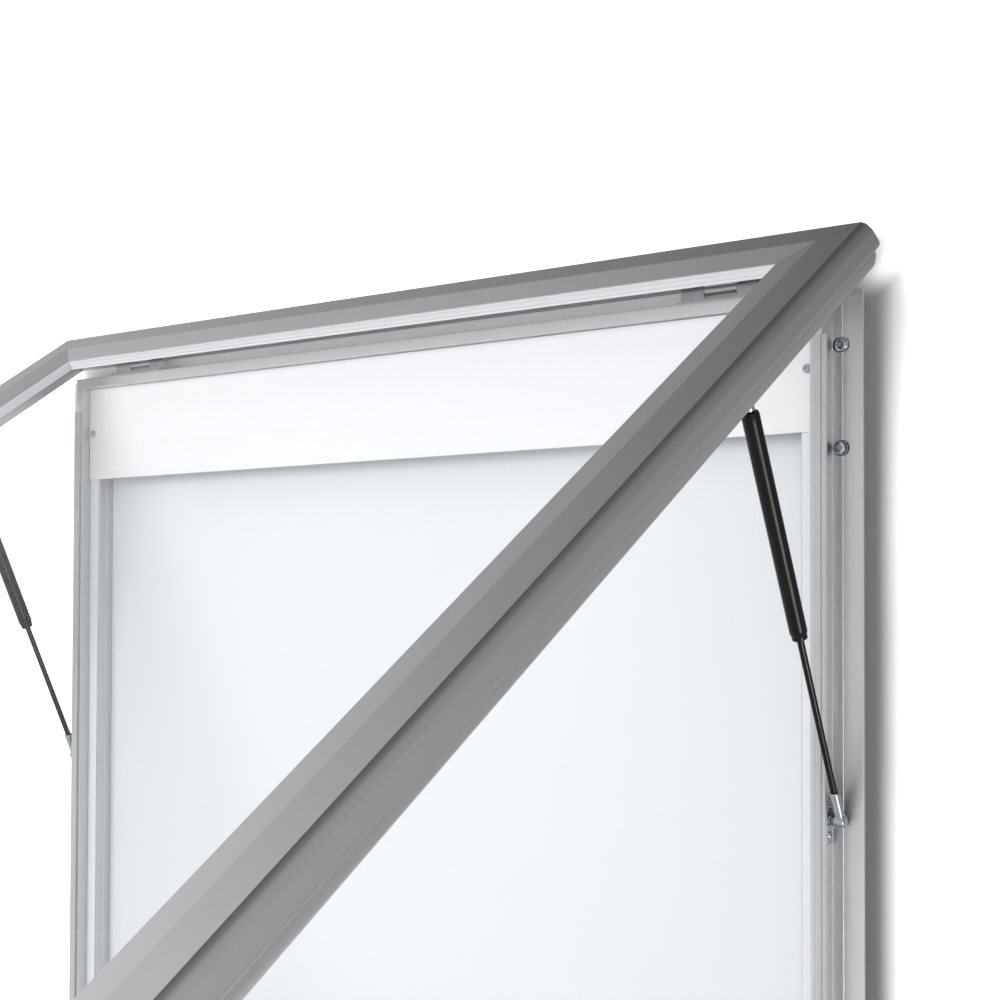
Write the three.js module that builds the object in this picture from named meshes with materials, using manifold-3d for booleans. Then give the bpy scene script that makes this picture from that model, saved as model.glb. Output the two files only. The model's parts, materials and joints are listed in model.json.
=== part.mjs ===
// A lockable notice board for outdoor walls, with its glazed door swung up on two gas struts.
// Lengths are in millimetres. X runs to the right of someone facing the board, Y into the wall, Z up.
// The origin is the middle of the back, in the plane of the wall.
import * as THREE from 'three';
import { mergeVertices } from 'three/addons/utils/BufferGeometryUtils.js';
import Module from 'manifold-3d';

const wasm = await Module();
wasm.setup();

// Case: across the outer faces of its lip, and from the front of the lip back to the wall
const caseWidth = 1003;
const caseHeight = 1079;
const caseDepth = 38;
const lipWidth = 11.4;
const ledgeDepth = 13.8;
const ledgeWidth = 16.1;
const ledgeStepWidth = 1.6;
const ledgeStepDepth = 1.2;
const railWall = 2;
const flangeDepth = 20;
const flangeWall = 2.5;
const flangeReach = 29.3;
const chamberWidth = 19;
const panelThickness = 3;
const panelLap = 4.5;

// Door: the crease is the sharp outer edge of its flat front land
const doorLap = 31;
const doorForward = 24;
const landWidth = 28.2;
const bevelWidth = 28.2;
const bevelDrop = 5.35;
const boxDepth = 16.5;
const doorWall = 2;
const skirtReach = 9.4;
const skirtDepth = 43.5;
const skirtInset = 2.5;
const pocketInset = 25;
const pocketDepth = 6;
const glassThickness = 4;
const beadWidth = 5.2;
const beadThickness = 1.4;

// Each point of the skirt's outer face, as shares of its reach beyond the crease and of its depth
const skirtOutlineShares = [
  [-0.21, 1], [0.06, 0.98], [0.26, 0.94], [0.38, 0.89], [0.47, 0.83], [0.55, 0.75], [0.55, 0.68],
  [0.71, 0.64], [0.93, 0.6], [1, 0.55], [1, 0.52], [0.89, 0.38], [0.79, 0.26], [0.65, 0.17],
  [0.5, 0.09], [0.34, 0.04], [0.16, 0],
];
const skirtHollowShares = [0.06, 0.88];

// Hinges along the top edge
const openAngle = THREE.MathUtils.degToRad(56.14);
const hingeBehindLip = 14;
const hingeAboveLip = 12;
const hingeFromEnd = 105;
const hingeLength = 84;
const hingePinRadius = 2.4;
const hingeBarrelRadius = 4.8;
const hingeHeadRadius = 3.8;
const hingeHeadLength = 1.6;
const hingeLeafThickness = 2.5;
const hingeLeafDepth = 26;
const hingeMiddleShare = 0.4;
const hingeArmThickness = 3;
const hingeFootWidth = 16;

// Gas struts, one in the side channel at each end
const strutOut = 11;
const strutBallBehindLip = 12;
const strutBallBelowLip = 458;
const strutStudBehindCrease = 32;
const strutStudBelowCrease = 221.6;
const strutTubeRadius = 7.5;
const strutTubeLength = 199;
const strutTubeEndWall = 10;
const strutNeckRadius = 6.6;
const strutNeckLength = 3;
const strutRodRadius = 3;
const strutRodHeld = 40;
const strutSocketLength = 28;
const strutShankRadius = 4.6;
const strutCupRadius = 5.7;
const strutCupLength = 12;
const ballRadius = 4;
const ballNeckRadius = 2.4;
const ballFlangeRadius = 4.4;
const ballFlangeLength = 2.5;
const strutPlateThickness = 2;
const strutPlateWidth = 11;
const strutPlateHeight = 42;
const strutPlateBehindLip = 4.6;
const bracketFootWidth = 12;
const bracketLegHeight = 22;
const bracketLegInset = 5.5;
const bracketThickness = 2;
const bracketHeight = 30;

// Header strip and its screws
const headerThickness = 3;
const headerBottom = 122;
const headerSideClearance = 0.6;
const headerScrewInset = 8;
const headerScrewRadius = 1.8;
const headerScrewHeadRadius = 3.9;
const headerScrewHeadHeight = 2.4;
const headerScrewLength = 9;

// Weather strips on the side lips
const sealWidth = 8;
const sealThickness = 2.5;
const sealSideReach = 3.2;
const sealSideDepth = 3.5;
const sealStep = 0.9;
const sealTopGap = 40;

// Wall fixings, through slots in the side flanges
const slotLength = 16;
const slotHeight = 13.5;
const slotOut = 8.6;
const roundSlotBelowTop = 47;
const capSlotBelowTop = 137;
const lowSlotAboveBottom = 110;
const wallScrewRadius = 2.8;
const wallSleeveRadius = 4.4;
const roundHeadRadius = 6;
const roundHeadHeight = 3.6;
const roundHeadBehindFlange = 3.4;
const capHeadRadius = 5.6;
const capHeadHeight = 8;
const capHeadProud = 5.2;
const capSocketRadius = 2.9;
const capSocketDepth = 4;

// Cam locks in the bottom rail of the door
const lockFromEnd = 190;
const lockInset = 14;
const lockBodyRadius = 7.6;
const lockBodyDepth = 24;
const lockHeadRadius = 10;
const lockHeadHeight = 2.2;
const lockPlugRadius = 5;
const lockCamDepth = 29;
const lockCamThickness = 3;
const lockCamLength = 14;
const lockCamHalfWidth = 4.8;
const keeperWidth = 26;
const keeperHeight = 11;
const keeperFootDepth = 15;
const keeperThickness = 2;
const keeperGap = 0.7;

// Corner keys inside the mitres
const caseKeyLeg = 62;
const doorKeyLeg = 74;
const doorKeyWidth = 42;
const doorKeyStart = 6;
const doorKeyThickness = 6.4;

// Fits
const mitreGap = 0.3;
const fitGap = 0.3;
const panelGap = 0.2;
const overrun = 5;
const roundSides = 24;
const smallSides = 16;
const slotSteps = 10;
const ballSteps = 7;

// Worked out from the sizes above
const lipEdge = caseWidth / 2;
const lipTop = caseHeight / 2;
const innerWall = -(lipWidth + ledgeWidth);
const panelFront = caseDepth - panelThickness;
const doorWidth = caseWidth + 2 * doorLap;
const doorHeight = caseHeight + 2 * doorLap;
const glassFront = boxDepth + fitGap;
const revealInset = landWidth + bevelWidth;

function finish(color, roughness, metalness) {
  return new THREE.MeshStandardMaterial({ color, roughness, metalness });
}
const anodised = () => finish('#a3a5a8', 0.38, 0.9);
const zinc = () => finish('#b4b9bd', 0.3, 0.95);
const white = () => finish('#f1f4f8', 0.45, 0);
const blackPaint = () => finish('#1d1e20', 0.35, 0.2);

function named(name, geometry, material) {
  const mesh = new THREE.Mesh(geometry, material);
  mesh.name = name;
  return mesh;
}

const toPoint = ([x, y]) => new THREE.Vector2(x, y);

function runningAnticlockwise(points) {
  return THREE.ShapeUtils.isClockWise(points) ? points.reverse() : points;
}

function sectionShape({ outline, holes = [] }) {
  const shape = new THREE.Shape(runningAnticlockwise(outline.map(toPoint)));
  shape.holes = holes.map((hole) => new THREE.Path(runningAnticlockwise(hole.map(toPoint)).reverse()));
  return shape;
}

function toSolid(geometry) {
  const bare = geometry.clone();
  bare.deleteAttribute('normal');
  bare.deleteAttribute('uv');
  const merged = mergeVertices(bare);
  const mesh = new wasm.Mesh({
    numProp: 3,
    vertProperties: merged.attributes.position.array,
    triVerts: merged.index.array,
  });
  return new wasm.Manifold(mesh);
}

function toGeometry(solid) {
  const mesh = solid.getMesh();
  const geometry = new THREE.BufferGeometry();
  geometry.setAttribute('position', new THREE.BufferAttribute(mesh.vertProperties, 3));
  geometry.setIndex(new THREE.BufferAttribute(mesh.triVerts, 1));
  return geometry;
}

function cutAway(geometry, tools) {
  return toGeometry(tools.reduce((solid, tool) => solid.subtract(toSolid(tool)), toSolid(geometry)));
}

function joined(geometries) {
  const [first, ...rest] = geometries.map(toSolid);
  return toGeometry(rest.reduce((solid, other) => solid.add(other), first));
}

// A shape drawn in X and Z, given thickness along Y from one depth to another
function platedAlongY(shape, front, back) {
  const geometry = new THREE.ExtrudeGeometry(shape, { depth: back - front, bevelEnabled: false });
  geometry.rotateX(Math.PI / 2);
  geometry.translate(0, back, 0);
  return geometry;
}

// A shape drawn in X and Y, given length along Z and centred
function barAlongZ(shape, length) {
  const geometry = new THREE.ExtrudeGeometry(shape, { depth: length, bevelEnabled: false });
  geometry.translate(0, 0, -length / 2);
  return geometry;
}

// A shape drawn in Y and Z, given length along X and centred
function barAlongX(shape, length) {
  const geometry = new THREE.ExtrudeGeometry(shape, { depth: length, bevelEnabled: false });
  geometry.translate(0, 0, -length / 2);
  geometry.rotateY(Math.PI / 2);
  geometry.rotateX(Math.PI / 2);
  return geometry;
}

// A turned piece about the Y axis; each point is a radius and a height
function turned(points, sides) {
  return new THREE.LatheGeometry(points.map(toPoint), sides);
}

function discAlongY(radius, front, back, sides) {
  return turned([[0, front], [radius, front], [radius, back], [0, back]], sides);
}

function slotShape(length, height, centreX, centreZ) {
  const shape = new THREE.Shape();
  const half = (length - height) / 2;
  shape.absarc(centreX + half, centreZ, height / 2, -Math.PI / 2, Math.PI / 2, false);
  shape.absarc(centreX - half, centreZ, height / 2, Math.PI / 2, Math.PI * 1.5, false);
  return new THREE.Shape(shape.getPoints(slotSteps).slice(0, -1));
}

// A straight bar of a mitred frame: the section lies outwards along X and back along Y,
// and each end is trimmed by a rule that takes the distance outwards
function frameBar(section, length, startTrim, endTrim) {
  const settings = { depth: length, bevelEnabled: false };
  const geometry = new THREE.ExtrudeGeometry(sectionShape(section), settings);
  const place = geometry.attributes.position;
  for (let i = 0; i < place.count; i += 1) {
    const outward = place.getX(i);
    const atEnd = place.getZ(i) > length / 2;
    place.setZ(i, atEnd ? length / 2 - endTrim(outward) : startTrim(outward) - length / 2);
  }
  return geometry;
}
const mitreTrim = (outward) => mitreGap / 2 - outward;
const squareChamberTrim = (outward) => mitreGap / 2 - Math.min(outward, 0);

// The four sides of a frame, as quarter turns about Y
const sides = {
  right: { turn: 0, x: 1, z: 0 },
  top: { turn: -Math.PI / 2, x: 0, z: 1 },
  left: { turn: Math.PI, x: -1, z: 0 },
  bottom: { turn: Math.PI / 2, x: 0, z: -1 },
};

function placeOnSide(mesh, side, width, height) {
  mesh.position.set((side.x * width) / 2, 0, (side.z * height) / 2);
  mesh.rotation.y = side.turn;
  return mesh;
}

// Sections of the case, with X outwards from the lip's outer face and Y back from its front
function caseFront() {
  return [
    [innerWall, panelFront - panelGap], [innerWall, ledgeDepth + ledgeStepDepth],
    [innerWall + ledgeStepWidth, ledgeDepth + ledgeStepDepth], [innerWall + ledgeStepWidth, ledgeDepth],
    [-lipWidth, ledgeDepth], [-lipWidth, 0], [0, 0],
  ];
}

function caseBack() {
  return [
    [0, caseDepth], [innerWall + panelLap, caseDepth], [innerWall + panelLap, panelFront - panelGap],
  ];
}

function caseHollow() {
  const front = ledgeDepth + ledgeStepDepth + railWall;
  const keep = innerWall + panelLap + railWall;
  const behindPanel = panelFront - panelGap - railWall;
  return [
    [-railWall, railWall], [-railWall, caseDepth - railWall], [keep, caseDepth - railWall],
    [keep, behindPanel], [innerWall + railWall, behindPanel], [innerWall + railWall, front],
    [railWall - lipWidth, front], [railWall - lipWidth, railWall],
  ];
}

function topRailSection() {
  return { outline: [...caseFront(), ...caseBack()], holes: [caseHollow()] };
}

function fixingRailSection() {
  const flangeBack = flangeDepth + flangeWall;
  const flange = [
    [0, flangeDepth], [flangeReach, flangeDepth], [flangeReach, flangeBack],
    [chamberWidth, flangeBack], [chamberWidth, caseDepth],
  ];
  const chamber = [
    [0, flangeBack], [0, caseDepth - railWall], [chamberWidth - railWall, caseDepth - railWall],
    [chamberWidth - railWall, flangeBack],
  ];
  return {
    outline: [...caseFront(), ...flange, ...caseBack()],
    holes: [caseHollow(), chamber],
  };
}

// Heights of the fixing slots above the middle of the case
const slotHeights = {
  round: lipTop - roundSlotBelowTop,
  cap: lipTop - capSlotBelowTop,
  low: lowSlotAboveBottom - lipTop,
};
const headerMiddle = lipTop - (lipWidth + headerBottom) / 2;
const headerScrewOut = -(lipWidth + headerScrewInset);

function sideRailCuts(up) {
  const cuts = Object.values(slotHeights).flatMap((height) => {
    const slot = slotShape(slotLength, slotHeight, slotOut, up * height);
    const hole = discAlongY(wallScrewRadius + fitGap, caseDepth - railWall - fitGap,
      caseDepth + overrun, smallSides);
    hole.translate(slotOut, 0, up * height);
    return [platedAlongY(slot, flangeDepth - overrun, flangeDepth + flangeWall + fitGap), hole];
  });
  const screwHole = discAlongY(headerScrewRadius + fitGap, ledgeDepth - overrun,
    ledgeDepth + ledgeStepDepth + railWall + fitGap, smallSides);
  screwHole.translate(headerScrewOut, 0, up * headerMiddle);
  return [...cuts, screwHole];
}

function buildCaseRails() {
  const top = frameBar(topRailSection(), caseWidth, mitreTrim, mitreTrim);
  const bottom = frameBar(fixingRailSection(), caseWidth, mitreTrim, mitreTrim);
  const right = frameBar(fixingRailSection(), caseHeight, mitreTrim, squareChamberTrim);
  const left = frameBar(fixingRailSection(), caseHeight, squareChamberTrim, mitreTrim);
  const geometries = {
    top,
    bottom,
    right: cutAway(right, sideRailCuts(1)),
    left: cutAway(left, sideRailCuts(-1)),
  };
  return Object.entries(geometries).map(([key, geometry]) => (
    placeOnSide(named(`case_${key}_rail`, geometry, anodised()), sides[key], caseWidth, caseHeight)
  ));
}

// An angle plate that lies inside two hollow bars and fills a mitre
function cornerKey(outerX, outerZ, leg, width, front, back) {
  const outline = [[0, 0], [leg, 0], [leg, width], [width, width], [width, leg], [0, leg]];
  const points = outline.map(([x, z]) => [
    outerX - Math.sign(outerX) * x, outerZ - Math.sign(outerZ) * z,
  ]);
  return platedAlongY(sectionShape({ outline: points }), front, back);
}

const corners = [
  ['top_right', 1, 1], ['top_left', -1, 1], ['bottom_left', -1, -1], ['bottom_right', 1, -1],
];

function buildCaseKeys() {
  const inset = railWall + fitGap;
  const width = ledgeWidth + lipWidth - panelLap - railWall - fitGap - inset;
  const front = ledgeDepth + ledgeStepDepth + railWall + fitGap;
  const back = caseDepth - railWall - fitGap;
  return corners.map(([corner, x, z]) => named(
    `case_corner_key_${corner}`,
    cornerKey(x * (lipEdge - inset), z * (lipTop - inset), caseKeyLeg, width, front, back),
    zinc(),
  ));
}

function buildPanels() {
  const lapped = innerWall + panelLap - panelGap;
  const panel = new THREE.BoxGeometry(caseWidth + 2 * lapped, panelThickness, caseHeight + 2 * lapped);
  panel.translate(0, caseDepth - panelThickness / 2, 0);

  const halfWidth = lipEdge - lipWidth - headerSideClearance;
  const top = lipTop - lipWidth - headerSideClearance;
  const bottom = lipTop - headerBottom;
  const shape = new THREE.Shape([
    [-halfWidth, bottom], [halfWidth, bottom], [halfWidth, top], [-halfWidth, top],
  ].map(toPoint));
  shape.holes = [-1, 1].map((side) => {
    const hole = new THREE.Path();
    const across = side * (lipEdge + headerScrewOut);
    hole.absarc(across, headerMiddle, headerScrewRadius + fitGap, 0, 2 * Math.PI, false);
    return new THREE.Path(hole.getPoints(smallSides).slice(0, -1));
  });
  const header = platedAlongY(shape, ledgeDepth - headerThickness, ledgeDepth);
  return [named('back_panel', panel, white()), named('header_panel', header, white())];
}

function headerScrew() {
  const front = ledgeDepth - headerThickness;
  const dome = headerScrewHeadHeight / 2;
  return turned([
    [0, front - headerScrewHeadHeight], [headerScrewHeadRadius - dome, front - headerScrewHeadHeight],
    [headerScrewHeadRadius, front - dome], [headerScrewHeadRadius, front],
    [headerScrewRadius, front], [headerScrewRadius, front + headerScrewLength],
    [0, front + headerScrewLength],
  ], smallSides);
}

// Weather strip that wraps the outer corner of a side lip
function sealSection(side) {
  return [
    [-sealWidth, 0], [-sealWidth, -sealThickness], [-fitGap, -sealThickness], [-fitGap, -sealStep],
    [sealSideReach, -sealStep], [sealSideReach, sealSideDepth], [0, sealSideDepth], [0, 0],
  ].map(([x, y]) => [side * (lipEdge + x), y]);
}

function buildSeal(side, name) {
  const length = caseHeight - sealTopGap - sealSideReach;
  const geometry = barAlongZ(sectionShape({ outline: sealSection(side) }), length);
  geometry.translate(0, 0, lipTop - sealTopGap - length / 2);
  return named(name, geometry, finish('#c9cccf', 0.7, 0));
}

// Wall screws with their sleeves: a round head sunk in its slot, and a socket cap head that stands out
function roundWallScrew() {
  const front = flangeDepth + roundHeadBehindFlange;
  const seat = caseDepth - railWall;
  const dome = roundHeadHeight / 2;
  return turned([
    [0, front], [roundHeadRadius - dome, front], [roundHeadRadius, front + dome],
    [roundHeadRadius, front + roundHeadHeight], [wallSleeveRadius, front + roundHeadHeight],
    [wallSleeveRadius, seat], [wallScrewRadius, seat], [wallScrewRadius, caseDepth], [0, caseDepth],
  ], roundSides);
}

function capWallScrew() {
  const front = flangeDepth - capHeadProud;
  const seat = caseDepth - railWall;
  return turned([
    [0, front + capSocketDepth], [capSocketRadius, front + capSocketDepth], [capSocketRadius, front],
    [capHeadRadius, front], [capHeadRadius, front + capHeadHeight],
    [wallSleeveRadius, front + capHeadHeight], [wallSleeveRadius, seat], [wallScrewRadius, seat],
    [wallScrewRadius, caseDepth], [0, caseDepth],
  ], roundSides);
}

function at(mesh, x, y, z) {
  mesh.position.set(x, y, z);
  return mesh;
}

// Hinges: two fixed knuckles and a leaf on the case, a middle knuckle and an arm on the door
function knuckle(length, bore) {
  const ring = turned([
    [bore, -length / 2], [hingeBarrelRadius, -length / 2], [hingeBarrelRadius, length / 2],
    [bore, length / 2], [bore, -length / 2],
  ], roundSides);
  ring.rotateZ(-Math.PI / 2);
  return ring;
}

function boxFrom(low, high) {
  const size = high.map((value, i) => value - low[i]);
  const geometry = new THREE.BoxGeometry(...size);
  geometry.translate(...high.map((value, i) => value - size[i] / 2));
  return geometry;
}

const middleKnuckle = hingeLength * hingeMiddleShare;
const outerKnuckle = (hingeLength - middleKnuckle) / 2 - fitGap;
const hingeBore = hingePinRadius + fitGap;

function caseLeafGeometry() {
  const half = hingeLength / 2;
  const leafTop = hingeLeafThickness - hingeAboveLip;
  const leaf = boxFrom([-half, -hingeBehindLip + railWall, -hingeAboveLip],
    [half, hingeLeafDepth - hingeBehindLip + railWall, leafTop]);
  const pieces = [leaf];
  for (const side of [-1, 1]) {
    const middle = side * (half - outerKnuckle / 2);
    const web = boxFrom([middle - outerKnuckle / 2, -hingeBarrelRadius, -hingeAboveLip],
      [middle + outerKnuckle / 2, hingeBarrelRadius, 0]);
    const ring = discAlongY(hingeBarrelRadius, -outerKnuckle / 2, outerKnuckle / 2, roundSides);
    ring.rotateZ(-Math.PI / 2);
    ring.translate(middle, 0, 0);
    pieces.push(web, ring);
  }
  const bore = discAlongY(hingeBore, -hingeLength, hingeLength, roundSides);
  bore.rotateZ(-Math.PI / 2);
  return cutAway(joined(pieces), [bore]);
}

function doorLeafGeometry() {
  const half = middleKnuckle / 2;
  const footFront = boxDepth + fitGap - doorForward - hingeBehindLip;
  const footTop = doorLap - hingeAboveLip - skirtInset - fitGap;
  const foot = boxFrom([-hingeLength / 2, footFront, footTop - hingeFootWidth],
    [hingeLength / 2, footFront + hingeLeafThickness, footTop]);
  const arm = boxFrom([-half, footFront, -hingeArmThickness / 2], [half, 0, hingeArmThickness / 2]);
  const barrel = discAlongY(hingeBarrelRadius, -half, half, roundSides);
  barrel.rotateZ(-Math.PI / 2);
  const bore = discAlongY(hingeBore, -hingeLength, hingeLength, roundSides);
  bore.rotateZ(-Math.PI / 2);
  return cutAway(joined([foot, arm, barrel]), [bore]);
}

function hingePinGeometry(side) {
  const half = hingeLength / 2;
  const pin = turned([
    [0, -half], [hingePinRadius, -half], [hingePinRadius, half], [hingeHeadRadius, half],
    [hingeHeadRadius, half + hingeHeadLength], [0, half + hingeHeadLength],
  ], smallSides);
  pin.rotateZ((-side * Math.PI) / 2);
  return pin;
}

// Gas struts: everything of one strut lies along its own Z, up from the lower ball
const strutTop = new THREE.Vector2(
  strutStudBehindCrease - doorForward - hingeBehindLip,
  doorLap - strutStudBelowCrease - hingeAboveLip,
).rotateAround(new THREE.Vector2(0, 0), -openAngle);
const strutSpan = new THREE.Vector2(
  hingeBehindLip + strutTop.x - strutBallBehindLip,
  hingeAboveLip + strutTop.y + strutBallBelowLip,
);
const strutLength = strutSpan.length();
const strutLean = Math.atan2(-strutSpan.x, strutSpan.y);

// A ball on a stud that points along X from its flange; the ball is at the origin
function ballStud(direction, neckLength) {
  const neckAngle = Math.asin(ballNeckRadius / ballRadius);
  const points = [];
  for (let i = 0; i <= ballSteps; i += 1) {
    const angle = neckAngle + ((Math.PI - neckAngle) * i) / ballSteps;
    points.push([ballRadius * Math.sin(angle), -ballRadius * Math.cos(angle)]);
  }
  const stud = turned([
    [0, -neckLength], [ballFlangeRadius, -neckLength],
    [ballFlangeRadius, ballFlangeLength - neckLength], [ballNeckRadius, ballFlangeLength - neckLength],
    ...points.slice(0, -1), [0, ballRadius],
  ], smallSides);
  stud.rotateZ((-direction * Math.PI) / 2);
  return stud;
}

// The end fitting: a cup across the ball, open towards the stud, on a shank along the strut
function strutSocket(direction, upwards) {
  const cup = discAlongY(strutCupRadius, -strutCupLength / 2, strutCupLength / 2, roundSides);
  const bore = discAlongY(ballRadius + fitGap, -strutCupLength, ballRadius + fitGap, roundSides);
  const shank = discAlongY(strutShankRadius, 0, strutSocketLength, roundSides);
  cup.rotateZ((-direction * Math.PI) / 2);
  bore.rotateZ((-direction * Math.PI) / 2);
  shank.rotateX((upwards * Math.PI) / 2);
  return cutAway(joined([cup, shank]), [bore]);
}

function strutTube() {
  const bore = strutRodRadius + fitGap;
  const tube = turned([
    [0, strutTubeLength - strutTubeEndWall], [bore, strutTubeLength - strutTubeEndWall], [bore, 0],
    [strutNeckRadius, 0], [strutNeckRadius, strutNeckLength], [strutTubeRadius, 2 * strutNeckLength],
    [strutTubeRadius, strutTubeLength - strutNeckLength], [strutNeckRadius, strutTubeLength],
    [0, strutTubeLength],
  ], roundSides);
  tube.rotateX(Math.PI / 2);
  return tube;
}

function strutRod() {
  const exposed = strutLength - 2 * strutSocketLength - strutTubeLength;
  const rod = discAlongY(strutRodRadius, 0, exposed + strutRodHeld, smallSides);
  rod.rotateX(Math.PI / 2);
  return rod;
}

// The plate on the side of the case that carries the lower ball; the ball is at the origin
function strutBracket(side) {
  const wallFace = -side * strutOut;
  const outerFace = wallFace + side * strutPlateThickness;
  const front = strutPlateBehindLip - strutBallBehindLip;
  const plate = boxFrom([Math.min(wallFace, outerFace), front, -strutPlateHeight / 2],
    [Math.max(wallFace, outerFace), front + strutPlateWidth, strutPlateHeight / 2]);
  return joined([plate, ballStud(side, strutOut - strutPlateThickness / 2)]);
}

function buildStrut(side, word) {
  const strut = new THREE.Group();
  strut.position.set(side * (lipEdge + strutOut), strutBallBehindLip, lipTop - strutBallBelowLip);
  strut.rotation.x = strutLean;
  const upperNeck = doorLap - strutOut - bracketLegInset - bracketThickness - fitGap;
  const tubeStart = strutLength - strutSocketLength - strutTubeLength;
  strut.add(
    named(`strut_rod_socket_${word}`, strutSocket(side, 1), zinc()),
    at(named(`strut_rod_${word}`, strutRod(), blackPaint()), 0, 0, strutSocketLength),
    at(named(`strut_tube_${word}`, strutTube(), blackPaint()), 0, 0, tubeStart),
    at(named(`strut_tube_socket_${word}`, strutSocket(-side, -1), zinc()), 0, 0, strutLength),
    at(named(`strut_upper_ball_${word}`, ballStud(-side, upperNeck), zinc()), 0, 0, strutLength),
  );
  return strut;
}

// Door section, with X outwards from the crease and Y back from the flat front land
function doorSection() {
  const skirt = skirtOutlineShares.map(([out, back]) => [out * skirtReach, back * skirtDepth]);
  const pocketWall = pocketInset - doorWall;
  const outline = [
    [-landWidth, 0], [-revealInset, bevelDrop], [-revealInset, boxDepth],
    [-pocketInset, boxDepth], [-pocketInset, boxDepth + pocketDepth],
    [-pocketWall, boxDepth + pocketDepth], [-pocketWall, boxDepth], [-skirtInset, boxDepth],
    [-skirtInset, skirtDepth], ...skirt,
  ];
  const [start, end] = skirtHollowShares;
  const hollowSkirt = skirtOutlineShares
    .filter(([, back]) => back > start && back < end)
    .map(([out, back]) => [out * skirtReach - doorWall, back * skirtDepth]);
  const innerFace = doorWall - skirtInset;
  const hollow = [
    [-landWidth, doorWall], [doorWall - revealInset, bevelDrop + doorWall],
    [doorWall - revealInset, boxDepth - doorWall], [innerFace, boxDepth - doorWall],
    [innerFace, hollowSkirt[0][1]], ...hollowSkirt, [0, doorWall],
  ];
  return { outline, holes: [hollow] };
}

function lockCuts() {
  return [-1, 1].map((side) => {
    const hole = discAlongY(lockBodyRadius + fitGap, -overrun, boxDepth + overrun, roundSides);
    hole.translate(-lockInset, 0, side * (doorWidth / 2 - lockFromEnd));
    return hole;
  });
}

function buildDoorBars() {
  const names = { top: 'door_top_rail', bottom: 'door_bottom_rail' };
  return Object.entries(sides).map(([key, side]) => {
    const length = side.x === 0 ? doorWidth : doorHeight;
    const bar = frameBar(doorSection(), length, mitreTrim, mitreTrim);
    const geometry = key === 'bottom' ? cutAway(bar, lockCuts()) : bar;
    const name = names[key] ?? `door_${key}_stile`;
    return placeOnSide(named(name, geometry, anodised()), side, doorWidth, doorHeight);
  });
}

function buildDoorKeys() {
  const back = boxDepth - doorWall - fitGap;
  return corners.map(([corner, x, z]) => named(
    `door_corner_key_${corner}`,
    cornerKey(x * (doorWidth / 2 - doorKeyStart), z * (doorHeight / 2 - doorKeyStart),
      doorKeyLeg, doorKeyWidth, back - doorKeyThickness, back),
    zinc(),
  ));
}

function buildGlazing() {
  const inset = 2 * (pocketInset + fitGap);
  const glass = new THREE.BoxGeometry(doorWidth - inset, glassThickness, doorHeight - inset);
  glass.translate(0, glassFront + glassThickness / 2, 0);
  const glassMaterial = finish('#e9f1f0', 0.03, 0);
  glassMaterial.transparent = true;
  glassMaterial.opacity = 0.25;

  const edge = -(pocketInset + fitGap);
  const front = glassFront + glassThickness + fitGap;
  const bead = {
    outline: [
      [edge, front], [edge, front + beadThickness], [edge - beadWidth, front + beadThickness],
      [edge - beadWidth, front],
    ],
  };
  const beads = Object.entries(sides).map(([key, side]) => {
    const length = side.x === 0 ? doorWidth : doorHeight;
    const geometry = frameBar(bead, length, mitreTrim, mitreTrim);
    const mesh = named(`glazing_bead_${key}`, geometry, finish('#2a2b2c', 0.8, 0));
    return placeOnSide(mesh, side, doorWidth, doorHeight);
  });
  return [named('door_glass', glass, glassMaterial), ...beads];
}

// Angle bracket on the back of a stile, beside the upper ball of a strut
function doorBracket(side) {
  const front = boxDepth + fitGap;
  const leg = -bracketLegInset;
  const points = [
    [leg, front], [leg, front + bracketLegHeight], [leg - bracketThickness, front + bracketLegHeight],
    [leg - bracketThickness, front + bracketThickness], [leg - bracketFootWidth, front + bracketThickness],
    [leg - bracketFootWidth, front],
  ].map(([x, y]) => [side * (doorWidth / 2 + x), y]);
  const bracket = barAlongZ(sectionShape({ outline: points }), bracketHeight);
  bracket.translate(0, 0, doorHeight / 2 - strutStudBelowCrease);
  return bracket;
}

// Cam lock: the barrel stays still, and the plug and cam turn inside it
function lockBarrel() {
  const bore = lockPlugRadius + fitGap;
  return turned([
    [bore, -lockHeadHeight], [lockHeadRadius, -lockHeadHeight], [lockHeadRadius, -fitGap],
    [lockBodyRadius, -fitGap], [lockBodyRadius, lockBodyDepth], [bore, lockBodyDepth],
    [bore, -lockHeadHeight],
  ], roundSides);
}

function lockCam(side) {
  const plug = discAlongY(lockPlugRadius, -lockHeadHeight, lockCamDepth + lockCamThickness / 2, roundSides);
  const shape = new THREE.Shape();
  const middle = lockCamLength - lockCamHalfWidth;
  shape.absarc(0, 0, lockCamHalfWidth, Math.PI / 2, Math.PI * 1.5, false);
  shape.absarc(middle, 0, lockCamHalfWidth, -Math.PI / 2, Math.PI / 2, false);
  const outline = new THREE.Shape(shape.getPoints(slotSteps).slice(0, -1));
  const cam = joined([plug, platedAlongY(outline, lockCamDepth, lockCamDepth + lockCamThickness)]);
  return side > 0 ? cam : cam.rotateY(Math.PI);
}

// The catch under the case that a cam turns behind
function keeperGeometry() {
  const back = lockCamDepth - doorForward - keeperGap;
  const front = back - keeperThickness;
  return barAlongX(sectionShape({
    outline: [
      [front, 0], [front, -keeperHeight], [back, -keeperHeight], [back, -keeperThickness],
      [front + keeperFootDepth, -keeperThickness], [front + keeperFootDepth, 0],
    ],
  }), keeperWidth);
}

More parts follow.
